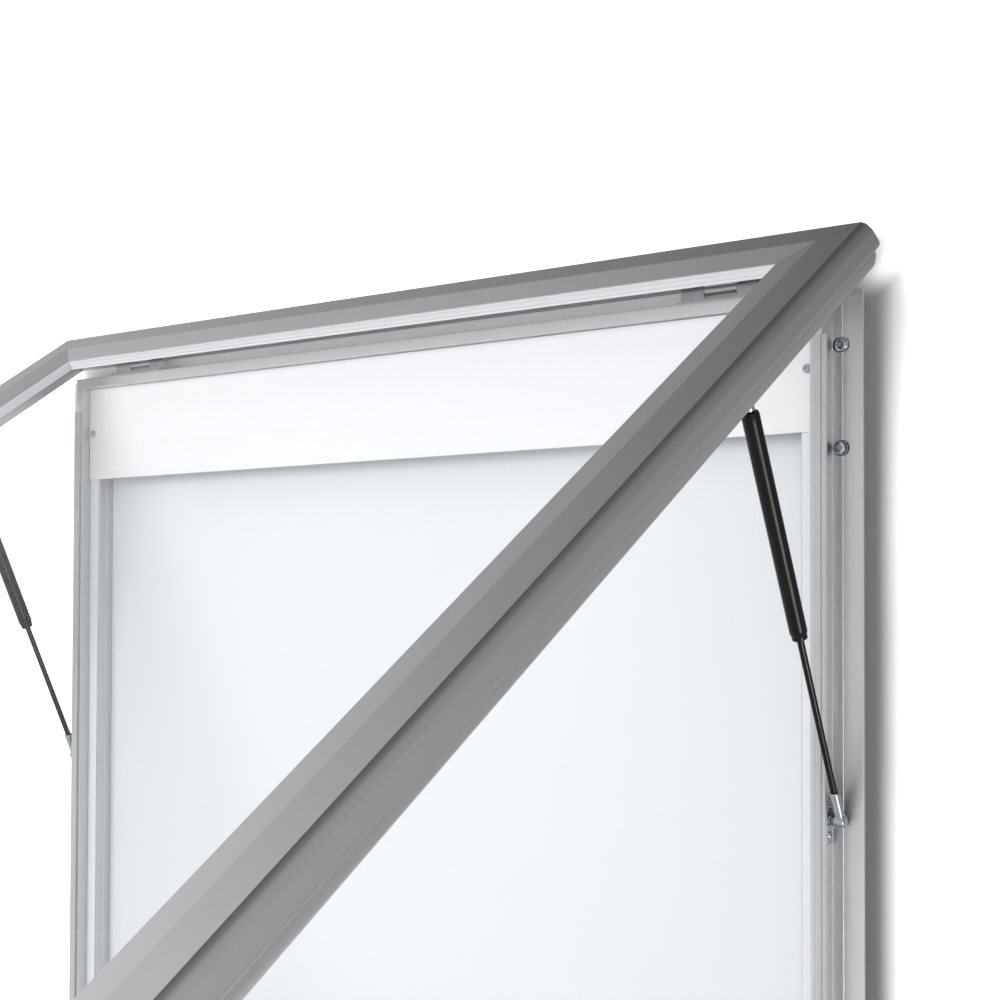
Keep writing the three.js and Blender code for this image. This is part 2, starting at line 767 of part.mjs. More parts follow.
function buildCase() {
  const group = new THREE.Group();
  group.position.set(0, -caseDepth, 0);
  group.add(...buildCaseRails(), ...buildCaseKeys(), ...buildPanels());
  for (const [word, side] of [['left', -1], ['right', 1]]) {
    const screwOut = side * (lipEdge + slotOut);
    const hingeAcross = side * (lipEdge - hingeFromEnd);
    group.add(
      at(named(`header_screw_${word}`, headerScrew(), zinc()),
        side * (lipEdge + headerScrewOut), 0, headerMiddle),
      buildSeal(side, `lip_seal_${word}`),
      at(named(`wall_screw_round_${word}`, roundWallScrew(), zinc()), screwOut, 0, slotHeights.round),
      at(named(`wall_screw_cap_${word}`, capWallScrew(), zinc()), screwOut, 0, slotHeights.cap),
      at(named(`wall_screw_low_${word}`, roundWallScrew(), zinc()), screwOut, 0, slotHeights.low),
      at(named(`hinge_case_leaf_${word}`, caseLeafGeometry(), anodised()),
        hingeAcross, hingeBehindLip, lipTop + hingeAboveLip),
      at(named(`hinge_pin_${word}`, hingePinGeometry(side), zinc()),
        hingeAcross, hingeBehindLip, lipTop + hingeAboveLip),
      at(named(`strut_bracket_${word}`, strutBracket(side), zinc()),
        side * (lipEdge + strutOut), strutBallBehindLip, lipTop - strutBallBelowLip),
      at(named(`lock_keeper_${word}`, keeperGeometry(), zinc()),
        side * (doorWidth / 2 - lockFromEnd), 0, -lipTop),
      buildStrut(side, word),
    );
  }
  return group;
}

function buildDoor() {
  const swing = new THREE.Group();
  swing.position.set(0, hingeBehindLip, lipTop + hingeAboveLip);
  swing.rotation.x = -openAngle;
  const body = new THREE.Group();
  body.position.set(0, -(doorForward + hingeBehindLip), doorLap - hingeAboveLip - doorHeight / 2);
  body.add(...buildDoorBars(), ...buildDoorKeys(), ...buildGlazing());
  for (const [word, side] of [['left', -1], ['right', 1]]) {
    const lockAcross = side * (doorWidth / 2 - lockFromEnd);
    const lockUp = lockInset - doorHeight / 2;
    body.add(
      named(`door_strut_bracket_${word}`, doorBracket(side), zinc()),
      at(named(`lock_barrel_${word}`, lockBarrel(), zinc()), lockAcross, 0, lockUp),
      at(named(`lock_cam_${word}`, lockCam(side), zinc()), lockAcross, 0, lockUp),
    );
    swing.add(at(named(`hinge_door_leaf_${word}`, doorLeafGeometry(), anodised()),
      side * (lipEdge - hingeFromEnd), 0, 0));
  }
  swing.add(body);
  return swing;
}

const board = new THREE.Group();
const caseGroup = buildCase();
caseGroup.add(buildDoor());
board.add(caseGroup);

export default board;
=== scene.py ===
# A lockable notice board with its glazed door swung up on two gas struts: its finishes and fine pieces.
import json
import math

import bpy
import numpy as np
from mathutils import Matrix, Vector
from mathutils.geometry import tessellate_polygon


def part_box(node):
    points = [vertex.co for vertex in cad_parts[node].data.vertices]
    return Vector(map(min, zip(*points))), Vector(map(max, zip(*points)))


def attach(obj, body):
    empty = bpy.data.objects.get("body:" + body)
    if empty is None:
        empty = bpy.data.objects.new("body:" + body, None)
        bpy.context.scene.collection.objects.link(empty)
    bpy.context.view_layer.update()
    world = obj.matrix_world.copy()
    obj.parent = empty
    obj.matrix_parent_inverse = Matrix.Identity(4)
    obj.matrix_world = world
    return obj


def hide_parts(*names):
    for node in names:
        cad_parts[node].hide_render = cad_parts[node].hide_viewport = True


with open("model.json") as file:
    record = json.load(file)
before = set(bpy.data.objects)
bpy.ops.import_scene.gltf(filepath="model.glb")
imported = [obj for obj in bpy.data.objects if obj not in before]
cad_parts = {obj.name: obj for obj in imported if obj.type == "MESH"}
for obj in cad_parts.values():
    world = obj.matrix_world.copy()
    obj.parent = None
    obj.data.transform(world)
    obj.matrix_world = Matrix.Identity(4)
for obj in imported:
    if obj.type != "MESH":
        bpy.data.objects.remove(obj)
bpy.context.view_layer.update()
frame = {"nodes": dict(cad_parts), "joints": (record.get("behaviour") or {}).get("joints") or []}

mm = 0.001
joints = {joint["name"]: joint for joint in frame["joints"]}
sideSigns = {"left": -1, "right": 1}

# Camera, stage and light, in metres and degrees
cameraView = {
    "place": (1.1653, -1.353, 0.2605), "yaw": 37.6, "pitch": 1.48, "roll": 0.2,
    "lens": 60.67, "sensor": 36, "upShift": 0.0672,
}
# the shade sizes paint a soft shadow into the wall card's colour, right of the case
stageSizes = {
    "floorHeight": -1.35, "floorRadius": 2.4, "floorSides": 96,
    "wallBehind": 0.0005, "wallMargin": 0.34, "wallFade": 0.2, "wallTuck": 0.013, "wallWhite": 1.75,
    "shade": 0.22, "paintedShadowInside": 0.05, "paintedShadowReach": 0.04, "paintedShadowEnd": 0.03, "paintedShadowLift": 0.022,
}
lightLevels = {
    "background": 1.0, "soft": 0.67, "keyPlace": (-0.9, -2.9, 1.0), "keySize": 1.6, "keyPower": 34,
    "rearPlace": (-1.2, 3.0, 1.6), "rearSize": 1.6, "rearPower": 48,
}


def addObject(name, data):
    made = bpy.data.objects.new(name, data)
    bpy.context.scene.collection.objects.link(made)
    return made


def meshObject(name, shape):
    # a shape is its points, its faces and, for a bar, its map
    mesh = bpy.data.meshes.new(name)
    mesh.from_pydata(shape[0].tolist(), [], shape[1])
    if len(shape) > 2:
        layer = mesh.uv_layers.new(name="along")
        layer.data.foreach_set("uv", shape[2].astype(np.float32).ravel())
    return addObject(name, mesh)


def makeCamera(view):
    # the camera's axes: level and above are turned by its roll about the way ahead
    yaw, pitch, roll = (math.radians(view[key]) for key in ("yaw", "pitch", "roll"))
    ahead = Vector((-math.sin(yaw) * math.cos(pitch), math.cos(yaw) * math.cos(pitch), math.sin(pitch)))
    level = Vector((math.cos(yaw), math.sin(yaw), 0))
    above = level.cross(ahead)
    across = level * math.cos(roll) + above * math.sin(roll)
    up = above * math.cos(roll) - level * math.sin(roll)
    data = bpy.data.cameras.new("camera")
    data.lens, data.sensor_width, data.shift_y = view["lens"], view["sensor"], view["upShift"]
    camera = addObject("camera", data)
    turn = Matrix((across, up, -ahead)).transposed().to_4x4()
    camera.matrix_world = Matrix.Translation(view["place"]) @ turn
    bpy.context.scene.camera = camera


makeCamera(cameraView)
bpy.context.scene.view_settings.view_transform = "Standard"
print("camera set")


class Wire:
    # one socket of a node tree; a Python sum on it adds the Math nodes
    def __init__(self, tree, socket=None):
        self.tree = tree
        self.socket = socket

    def node(self, kind, settings=None, inputs=None, output=0):
        # makes any node: its settings first, then each socket's value or link
        made = self.tree.nodes.new(kind)
        for key, value in (settings or {}).items():
            setattr(made, key, value)
        for key, value in (inputs or {}).items():
            if isinstance(value, Wire):
                self.tree.links.new(value.socket, made.inputs[key])
            else:
                made.inputs[key].default_value = value
        return Wire(self.tree, made.outputs[output] if len(made.outputs) else None)

    def sum(self, operation, *values):
        return self.node("ShaderNodeMath", {"operation": operation}, dict(enumerate(values)))

    def __add__(self, other):
        return self.sum("ADD", self, other)

    def __radd__(self, other):
        return self.sum("ADD", other, self)

    def __sub__(self, other):
        return self.sum("SUBTRACT", self, other)

    def __rsub__(self, other):
        return self.sum("SUBTRACT", other, self)

    def __mul__(self, other):
        return self.sum("MULTIPLY", self, other)

    def __rmul__(self, other):
        return self.sum("MULTIPLY", other, self)

    def least(self, other):
        return self.sum("MINIMUM", self, other)

    def most(self, other):
        return self.sum("MAXIMUM", self, other)

    def eased(self, start, end):
        # 0 at the start and 1 at the end, by a smooth step between them
        inputs = {"Value": self, "From Min": start, "From Max": end}
        return self.node("ShaderNodeMapRange", {"interpolation_type": "SMOOTHSTEP"}, inputs)

    def stretch(self, factors):
        return self.node("ShaderNodeVectorMath", {"operation": "MULTIPLY"}, {0: self, 1: factors})

    def noise(self, scale, detail=2.0, rough=0.5):
        inputs = {"Vector": self, "Scale": scale, "Detail": detail, "Roughness": rough}
        return self.node("ShaderNodeTexNoise", {"noise_dimensions": "3D"}, inputs)

    def blend(self, first, second):
        # a colour between two others, by this factor
        sockets = {0: self, 6: (*first, 1), 7: (*second, 1)}
        return self.node("ShaderNodeMix", {"data_type": "RGBA"}, sockets, output=2)

    def bump(self, strength, distance):
        return self.node("ShaderNodeBump", {}, {"Strength": strength, "Distance": distance, "Height": self})


def startMaterial(name):
    material = bpy.data.materials.new(name)
    material.use_nodes = True
    material.node_tree.nodes.clear()
    return material, Wire(material.node_tree)


def closeMaterial(wires, sockets):
    shader = wires.node("ShaderNodeBsdfPrincipled", {}, sockets)
    wires.node("ShaderNodeOutputMaterial", {}, {"Surface": shader})


def objectPlace(wires):
    return wires.node("ShaderNodeTexCoord", {}, {}, output=3)


# In every look, a bump is its strength and its height in metres
doorBarLook = {
    "dark": (0.55, 0.555, 0.565), "pale": (0.575, 0.58, 0.59), "rough": 0.31, "roughSpread": 0.04,
    "lineStretch": (1.2, 900, 1), "lineShare": 0.7, "cloudScale": 7, "lineBump": (0.03, 0.00003),
}
caseBarLook = {**doorBarLook, "dark": (0.595, 0.6, 0.61), "pale": (0.625, 0.63, 0.64), "rough": 0.4}


def anodisedBars(name, look):
    # drawn bar: die lines run along it, by the bar's own map of length and girth
    material, wires = startMaterial(name)
    along = wires.node("ShaderNodeUVMap", {"uv_map": "along"})
    lines = along.stretch(look["lineStretch"]).noise(1.0, 3.0, 0.6)
    clouds = objectPlace(wires).noise(look["cloudScale"], 3.0)
    shade = lines * look["lineShare"] + clouds * (1 - look["lineShare"])
    closeMaterial(wires, {
        "Base Color": shade.blend(look["dark"], look["pale"]),
        "Metallic": 1.0,
        "Roughness": look["rough"] + (lines * 0.5 + clouds * 0.5 - 0.5) * look["roughSpread"],
        "Normal": lines.bump(*look["lineBump"]),
    })
    return material


zincLook = {
    "dark": (0.22, 0.245, 0.265), "pale": (0.53, 0.56, 0.58), "rough": 0.07, "roughSpread": 0.12,
    "spangle": 420, "stainShare": 0.12, "pitBump": (0.12, 0.00006),
}


def brightZinc(look):
    # plated steel: a faint bluish spangle over small pits
    material, wires = startMaterial("bright_zinc")
    place = objectPlace(wires)
    spangle = place.noise(look["spangle"], 2.0)
    stain = place.noise(look["spangle"] * look["stainShare"], 2.0)
    closeMaterial(wires, {
        "Base Color": (spangle * 0.5 + stain * 0.5).blend(look["dark"], look["pale"]),
        "Metallic": 1.0,
        "Roughness": look["rough"] + spangle * look["roughSpread"],
        "Normal": spangle.bump(*look["pitBump"]),
    })
    return material


millLook = {
    "dark": (0.42, 0.43, 0.44), "pale": (0.56, 0.57, 0.58), "rough": 0.36, "roughSpread": 0.12,
    "grain": 260, "grainStretch": (1, 1, 0.12), "grainBump": (0.1, 0.00005),
}


def millMetal(look):
    # sawn and pressed aluminium fittings, by their place in space
    material, wires = startMaterial("mill_aluminium")
    grain = objectPlace(wires).stretch(look["grainStretch"]).noise(look["grain"], 2.0)
    closeMaterial(wires, {
        "Base Color": grain.blend(look["dark"], look["pale"]),
        "Metallic": 1.0,
        "Roughness": look["rough"] + (grain - 0.5) * look["roughSpread"],
        "Normal": grain.bump(*look["grainBump"]),
    })
    return material


paintLook = {
    "dark": (0.004, 0.004, 0.0045), "pale": (0.008, 0.008, 0.0085), "rough": 0.2, "roughSpread": 0.1,
    "gloss": 0.16, "dust": 45, "peel": 900, "peelBump": (0.08, 0.00005),
}


def blackPaint(look):
    # sprayed paint with a fine peel, a little duller where dust lies on it
    material, wires = startMaterial("strut_paint")
    place = objectPlace(wires)
    peel = place.noise(look["peel"], 1.0)
    dust = place.noise(look["dust"], 3.0)
    closeMaterial(wires, {
        "Base Color": dust.blend(look["dark"], look["pale"]),
        "Roughness": look["rough"] + dust * look["roughSpread"],
        "Specular IOR Level": look["gloss"],
        "Normal": peel.bump(*look["peelBump"]),
    })
    return material


rodLook = {
    "dark": (0.014, 0.014, 0.015), "pale": (0.03, 0.03, 0.031), "rough": 0.2, "roughSpread": 0.12,
    "grain": 700, "ringStretch": (0.1, 0.4, 1), "ringBump": (0.06, 0.00003),
}


def blackRod(look):
    # ground and nitrided rod: fine rings of grinding round it
    material, wires = startMaterial("nitrided_rod")
    rings = objectPlace(wires).stretch(look["ringStretch"]).noise(look["grain"], 2.0)
    closeMaterial(wires, {
        "Base Color": rings.blend(look["dark"], look["pale"]),
        "Metallic": 1.0,
        "Roughness": look["rough"] + rings * look["roughSpread"],
        "Normal": rings.bump(*look["ringBump"]),
    })
    return material


lacquerLook = {
    "panel": ((0.845, 0.87, 0.905), (0.87, 0.89, 0.915)),
    "header": ((0.935, 0.945, 0.965), (0.95, 0.96, 0.975)),
    "rough": 0.42, "roughSpread": 0.12, "gloss": 0.22, "clouds": 2.2,
    "peel": 520, "peelBump": (0.04, 0.00005),
}


def whiteLacquer(name, tone, look):
    # stoved lacquer on sheet: faint clouds between the tone's two colours, and a fine peel
    material, wires = startMaterial(name)
    place = objectPlace(wires)
    clouds = place.noise(look["clouds"], 3.0)
    peel = place.noise(look["peel"], 1.0)
    closeMaterial(wires, {
        "Base Color": clouds.blend(*look[tone]),
        "Roughness": look["rough"] + clouds * look["roughSpread"],
        "Specular IOR Level": look["gloss"],
        "Normal": peel.bump(*look["peelBump"]),
    })
    return material


rubberLook = {
    "seal": ((0.5, 0.515, 0.53), (0.6, 0.61, 0.62), 0.55),
    "gasket": ((0.3, 0.31, 0.325), (0.36, 0.37, 0.385), 0.65),
    "wedge": ((0.86, 0.87, 0.9), (0.89, 0.895, 0.915), 0.4),
    "roughSpread": 0.15, "dust": 14, "grain": 800, "grainBump": (0.03, 0.00004),
}


def softStrip(name, tone, look):
    # extruded rubber: matt, with a fine grain and dusty patches; a tone is two colours and a roughness
    material, wires = startMaterial(name)
    place = objectPlace(wires)
    grain = place.noise(look["grain"], 2.0)
    patches = place.noise(look["dust"], 3.0)
    dark, pale, rough = look[tone]
    closeMaterial(wires, {
        "Base Color": patches.blend(dark, pale),
        "Roughness": rough + (grain - 0.5) * look["roughSpread"],
        "Normal": grain.bump(*look["grainBump"]),
    })
    return material


glassLook = {
    "tint": (0.985, 0.99, 0.992), "smearTint": (0.98, 0.985, 0.987), "rough": 0.0, "index": 1.09,
    "gloss": 0.1, "smear": 3.0, "smearStretch": (1, 1, 0.4),
}


def clearGlass(look):
    # float glass with hardly visible smears; lamp rays pass straight through
    material, wires = startMaterial("clear_glass")
    smears = objectPlace(wires).stretch(look["smearStretch"]).noise(look["smear"], 4.0)
    shader = wires.node("ShaderNodeBsdfPrincipled", {}, {
        "Base Color": smears.blend(look["smearTint"], look["tint"]),
        "Roughness": look["rough"], "IOR": look["index"], "Transmission Weight": 1.0,
        "Specular IOR Level": look["gloss"],
    })
    clear = wires.node("ShaderNodeBsdfTransparent", {}, {"Color": (*look["tint"], 1)})
    shadow = wires.node("ShaderNodeLightPath", {}, {}, output=1)
    mixed = wires.node("ShaderNodeMixShader", {}, {0: shadow, 1: shader, 2: clear})
    wires.node("ShaderNodeOutputMaterial", {}, {"Surface": mixed})
    return material


def paintedShadowWall(sizes, low, high):
    # a pale wall card that can't be seen from behind and fades out near its edge, with a painted shadow: its
    # colour is darker to the right of the case, easing back to white outwards and at the case's top and
    # bottom
    material, wires = startMaterial("soft_wall")
    place = objectPlace(wires)
    across, upward = (wires.node("ShaderNodeSeparateXYZ", {}, {0: place}, output=axis) for axis in (0, 2))
    edge = (across - low[0]).least(high[0] - across).least((upward - low[2]).least(high[2] - upward))
    fade = {0: edge, 1: 1 / sizes["wallFade"]}
    shown = wires.node("ShaderNodeMath", {"operation": "MULTIPLY", "use_clamp": True}, fade)
    front = 1 - wires.node("ShaderNodeNewGeometry", {}, {}, output="Backfacing")
    margin, end = sizes["wallMargin"], sizes["paintedShadowEnd"]
    right, top, bottom = high[0] - margin, high[2] - margin + sizes["paintedShadowLift"], low[2] + margin
    # lit is 1 where no shadow is painted: it eases from 0 right beside the case to 1 outwards, past its top
    # and bottom, and inside it
    ends = upward.eased(top - end, top).most(upward.eased(bottom + end, bottom))
    lit = across.eased(right, right + sizes["paintedShadowReach"]).most(ends)
    lit = lit.most(across.sum("LESS_THAN", across, right - sizes["paintedShadowInside"]))
    # shade is the painted shadow's darkest colour, as a share of the wall's white
    shade, white = sizes["shade"], sizes["wallWhite"]
    colour = lit.blend((white * shade,) * 3, (white,) * 3)
    paint = wires.node("ShaderNodeBsdfDiffuse", {}, {"Color": colour})
    clear = wires.node("ShaderNodeBsdfTransparent", {}, {})
    mixed = wires.node("ShaderNodeMixShader", {}, {0: shown * front, 1: clear, 2: paint})
    wires.node("ShaderNodeOutputMaterial", {}, {"Surface": mixed})
    return material


floorLook = {"dark": (0.84, 0.84, 0.84), "pale": (0.88, 0.88, 0.88), "rough": 0.85, "patches": 1.5}


def paleFloor(look):
    material, wires = startMaterial("pale_floor")
    shade = objectPlace(wires).noise(look["patches"], 3.0)
    closeMaterial(wires, {
        "Base Color": shade.blend(look["dark"], look["pale"]),
        "Roughness": look["rough"],
    })
    return material


finishes = {
    "bar": anodisedBars("door_anodised", doorBarLook),
    "satin": anodisedBars("case_anodised", caseBarLook),
    "zinc": brightZinc(zincLook),
    "mill": millMetal(millLook),
    "paint": blackPaint(paintLook),
    "rod": blackRod(rodLook),
    "panel": whiteLacquer("white_panel", "panel", lacquerLook),
    "header": whiteLacquer("header_white", "header", lacquerLook),
    "seal": softStrip("grey_seal", "seal", rubberLook),
    "gasket": softStrip("back_gasket", "gasket", rubberLook),
    "wedge": softStrip("pale_wedge", "wedge", rubberLook),
    "glass": clearGlass(glassLook),
    "floor": paleFloor(floorLook),
}
print("materials made:", len(finishes))


# A studio for gloss: soft lights, each with the way towards it, its narrowness and its level
glossLights = [
    ((0.879, 0.418, 0.227), 1.4, 0.145),
    ((-0.608, -0.252, 0.753), 11, 1.1),
    ((-0.671, 0.517, 0.532), 11, 0.3),
    ((-0.497, -0.698, 0.515), 8.6, 1.35),
    ((0.973, 0.084, 0.214), 6.2, 0.49),
    ((-0.974, 0.226, -0.025), 11, 1.95),
    ((-0.733, -0.543, -0.410), 11, 1.1),
    ((0.084, 0.615, -0.784), 0.9, 0.5),
    ((0.254, -0.889, -0.381), 1.4, 1.2),
    ((0.153, -0.618, 0.771), 120, 10),
    ((0.798, -0.277, -0.541), 60, 16),
]


def lightWorld(levels):
    # gloss rays meet the lights, each as its level times the cosine to it raised to its narrowness; the
    # camera, also through the glass, meets the plain background, and other rays meet an even soft light
    world = bpy.data.worlds.new("studio")
    bpy.context.scene.world = world
    world.use_nodes = True
    world.node_tree.nodes.clear()
    wires = Wire(world.node_tree)
    toward = wires.node("ShaderNodeTexCoord", {}, {}, output=0)
    dome = 0.0
    for aim, narrow, level in glossLights:
        sockets = {0: toward, 1: aim}
        facing = wires.node("ShaderNodeVectorMath", {"operation": "DOT_PRODUCT"}, sockets, output=1)
        dome = dome + wires.sum("POWER", facing.most(0.0), narrow) * level
    path = {key: wires.node("ShaderNodeLightPath", {}, {}, output=key)
            for key in ("Is Camera Ray", "Is Transmission Ray", "Is Glossy Ray")}
    backdrop = path["Is Camera Ray"] + path["Is Transmission Ray"]
    rest = 1 - backdrop
    strength = (backdrop * levels["background"] + rest * path["Is Glossy Ray"] * dome
                + rest * (1 - path["Is Glossy Ray"]) * levels["soft"])
    shader = wires.node("ShaderNodeBackground", {}, {"Color": (1, 1, 1, 1), "Strength": strength})
    wires.node("ShaderNodeOutputWorld", {}, {"Surface": shader})


def softLamp(name, place, size, power):
    # a disc lamp aimed at the origin, which isn't seen by the camera, in gloss or through the glass
    data = bpy.data.lights.new(name, "AREA")
    data.shape, data.size, data.energy = "DISK", size, power
    lamp = addObject(name, data)
    lamp.location = place
    lamp.rotation_euler = (-Vector(place)).to_track_quat("-Z", "Y").to_euler()
    lamp.visible_glossy = False
    lamp.visible_camera = False
    lamp.visible_transmission = False


# A disc for the floor: its points go round a circle, (r cos a, r sin a, height)
def makeFloor(sizes):
    turn = np.linspace(0, 2 * math.pi, sizes["floorSides"], endpoint=False)
    ring = np.stack([np.cos(turn), np.sin(turn)], 1) * sizes["floorRadius"]
    points = np.column_stack([ring, np.full(len(ring), sizes["floorHeight"])])
    floor = meshObject("floor", (points, [list(range(len(points)))]))
    floor.data.materials.append(finishes["floor"])


def wallCorners(low, high):
    return [(low.x, low.z), (high.x, low.z), (high.x, high.z), (low.x, high.z)]


# A flat ring of four corners outside and four inside, facing the front; the case fills its hole
def makeWall(sizes):
    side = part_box("case_right_rail")[1].x
    caseLow = Vector((-side, 0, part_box("case_bottom_rail")[0].z))
    caseHigh = Vector((side, 0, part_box("case_top_rail")[1].z))
    margin, tuck = (Vector((sizes[key],) * 3) for key in ("wallMargin", "wallTuck"))
    low, high = caseLow - margin, caseHigh + margin
    corners = wallCorners(low, high) + wallCorners(caseLow + tuck, caseHigh - tuck)
    points = np.array([(x, sizes["wallBehind"], z) for x, z in corners])
    wall = meshObject("wall", (points, [(i, (i + 1) % 4, (i + 1) % 4 + 4, i + 4) for i in range(4)]))
    # the wall's material paints a soft shadow beside the case into its colour
    wall.data.materials.append(paintedShadowWall(sizes, low, high))
    wall.visible_glossy = False


lightWorld(lightLevels)
softLamp("key", lightLevels["keyPlace"], lightLevels["keySize"], lightLevels["keyPower"])
softLamp("rear", lightLevels["rearPlace"], lightLevels["rearSize"], lightLevels["rearPower"])
makeFloor(stageSizes)
makeWall(stageSizes)
print("stage lit")


# Case and door in millimetres, as every size of a piece from here on
caseSizes = {
    "width": 1003, "height": 1079, "depth": 38, "lip": 11.4, "ledgeDepth": 13.8, "ledge": 16.1,
    "step": 1.6, "stepDepth": 1.2, "wall": 2, "flangeDepth": 20, "flangeWall": 2.5, "flangeReach": 29.3,
    "chamber": 19, "panel": 3, "lap": 4.5, "gap": 0.2, "grooveOut": 10.4, "groove": 0.6,
    "wallLineDepth": 25, "wallLine": 0.45, "soft": 0.35,
}
doorSizes = {
    "width": 1065, "height": 1141, "land": 28.2, "bevel": 28.2, "bevelDrop": 5.35, "box": 16.5,
    "wall": 2, "skirtReach": 9.4, "skirtDepth": 43.5, "skirtInset": 2.5, "pocketInset": 25,
    "pocketDepth": 6, "behindHinge": 38, "belowHinge": 551.5, "gap": 0.3, "glass": 4, "beadWidth": 5.2,
    "beadThick": 1.4, "landSoft": 1.5, "creaseSoft": 1.0, "edgeSoft": 0.3, "skirtSoft": 0.05,
    "hollowShares": (0.06, 0.88),
}

# The frames that the pieces stand in; the door's and the struts' come from the joints
hinge = joints["door_hinge"]
casePlace = Matrix.Translation((0, -caseSizes["depth"] * mm, 0))
doorPlace = (Matrix.Translation(hinge["pos_m"])
             @ Matrix.Rotation(-math.radians(hinge["range_deg"][1]), 4, "X")
             @ Matrix.Translation((0, -doorSizes["behindHinge"] * mm, -doorSizes["belowHinge"] * mm)))
alongY = Matrix.Rotation(math.radians(-90), 4, "X")


def shifted(x, y, z):
    return Matrix.Translation((x * mm, y * mm, z * mm))


def strutPlace(hand):
    pivot = joints[f"{hand}_strut_pivot"]["pos_m"]
    slide = joints[f"{hand}_strut_slide"]["axis"]
    return Matrix.Translation(pivot) @ Matrix.Rotation(math.atan2(-slide[1], slide[2]), 4, "X")


# Each corner gives way to a curve that leaves one edge and joins the next, (1-t)^2 a + 2t(1-t) p + t^2 b,
# with a guard point on each edge so that the flats beside it stay flat in the shading; the curve and the
# guard each take at most their share of the shorter edge
def rounded(corners, radius, guard=0.35, steps=4, curveShare=0.38, guardShare=0.1):
    p = np.array(corners, float)
    toBack, toNext = np.roll(p, 1, 0) - p, np.roll(p, -1, 0) - p
    back, ahead = np.linalg.norm(toBack, axis=1), np.linalg.norm(toNext, axis=1)
    unitBack, unitNext = toBack / back[:, None], toNext / ahead[:, None]
    half = 0.5 * np.arccos(np.clip((unitBack * unitNext).sum(1), -0.99999, 0.99999))
    room = np.minimum(back, ahead)
    reach = np.minimum(np.array(radius) / np.tan(half), curveShare * room)[:, None]
    hold = reach + np.minimum(guard, guardShare * room)[:, None]
    t = np.linspace(0, 1, steps + 1)[None, :, None]
    a, b = (p + unitBack * reach)[:, None], (p + unitNext * reach)[:, None]
    curve = (1 - t) ** 2 * a + 2 * t * (1 - t) * p[:, None] + t ** 2 * b
    fence = [(p + unitBack * hold)[:, None], curve, (p + unitNext * hold)[:, None]]
    return spaced(np.concatenate(fence, 1).reshape(-1, 2))


def spaced(points, least=0.02):
    # drops each point that lies on the one before it
    step = np.linalg.norm(points - np.roll(points, 1, 0), axis=1)
    return points[step > least]


# A smooth curve through the points: on each stretch a cubic with the slopes of the points on either side
def throughPoints(points, steps):
    p = np.array(points, float)
    before = np.vstack([p[:1], p[:-2]])
    after = np.vstack([p[2:], p[-1:]])
    a, b = p[:-1, None], p[1:, None]
    slopeA, slopeB = (p[1:, None] - before[:, None]) / 2, (after[:, None] - p[:-1, None]) / 2
    t = np.linspace(0, 1, steps, endpoint=False)[None, :, None]
    curve = ((2 * t ** 3 - 3 * t ** 2 + 1) * a + (t ** 3 - 2 * t ** 2 + t) * slopeA
             + (3 * t ** 2 - 2 * t ** 3) * b + (t ** 3 - t ** 2) * slopeB)
    return np.vstack([curve.reshape(-1, 2), p[-1:]])


# Half the sum of x times the next y less y times the next x: positive when the loop runs anticlockwise
def signedArea(loop):
    x, y = np.array(loop).T
    return 0.5 * float((x * np.roll(y, -1) - y * np.roll(x, -1)).sum())


def ordered(loop, anticlockwise):
    return loop if (signedArea(loop) > 0) == anticlockwise else loop[::-1]


# A section's loops carried along z: each point keeps its x and y and runs from startTrim(x) - length/2
# to length/2 - endTrim(x); the map gives length along and girth round, in metres
def carried(loops, length, startTrim, endTrim):
    points, faces, uvs, start = [], [], [], 0
    rings = [ordered(np.array(loop, float), i == 0) for i, loop in enumerate(loops)]
    for ring in rings:
        n = len(ring)
        low = np.column_stack([ring, startTrim(ring[:, 0]) - length / 2])
        high = np.column_stack([ring, length / 2 - endTrim(ring[:, 0])])
        points += [low, high]
        i = np.arange(n)
        j = (i + 1) % n
        faces += (start + np.column_stack([i, j, j + n, i + n])).tolist()
        edge = np.linalg.norm(np.roll(ring, -1, 0) - ring, axis=1)
        girth = np.concatenate([[0], np.cumsum(edge)])
        corners = np.stack([low[i, 2], girth[:-1], low[j, 2], girth[1:],
                            high[j, 2], girth[1:], high[i, 2], girth[:-1]], 1)
        uvs.append(corners.reshape(-1, 2))
        start += 2 * n
    flat = np.concatenate(rings)
    cap = np.array(tessellate_polygon([[Vector((*point, 0)) for point in ring] for ring in rings]))
    a, b, c = flat[cap[:, 0]], flat[cap[:, 1]], flat[cap[:, 2]]
    flip = ((b - a)[:, 0] * (c - a)[:, 1] - (b - a)[:, 1] * (c - a)[:, 0]) < 0
    cap[flip] = cap[flip][:, ::-1]
    counts = np.array([len(ring) for ring in rings])
    lowIndex = np.arange(len(flat)) + np.repeat(np.cumsum(counts) - counts, counts)
    highIndex = lowIndex + np.repeat(counts, counts)
    faces += lowIndex[cap[:, ::-1]].tolist() + highIndex[cap].tolist()
    uvs += [flat[cap[:, ::-1]].reshape(-1, 2), flat[cap].reshape(-1, 2)]
    return np.concatenate(points), faces, np.concatenate(uvs) * mm


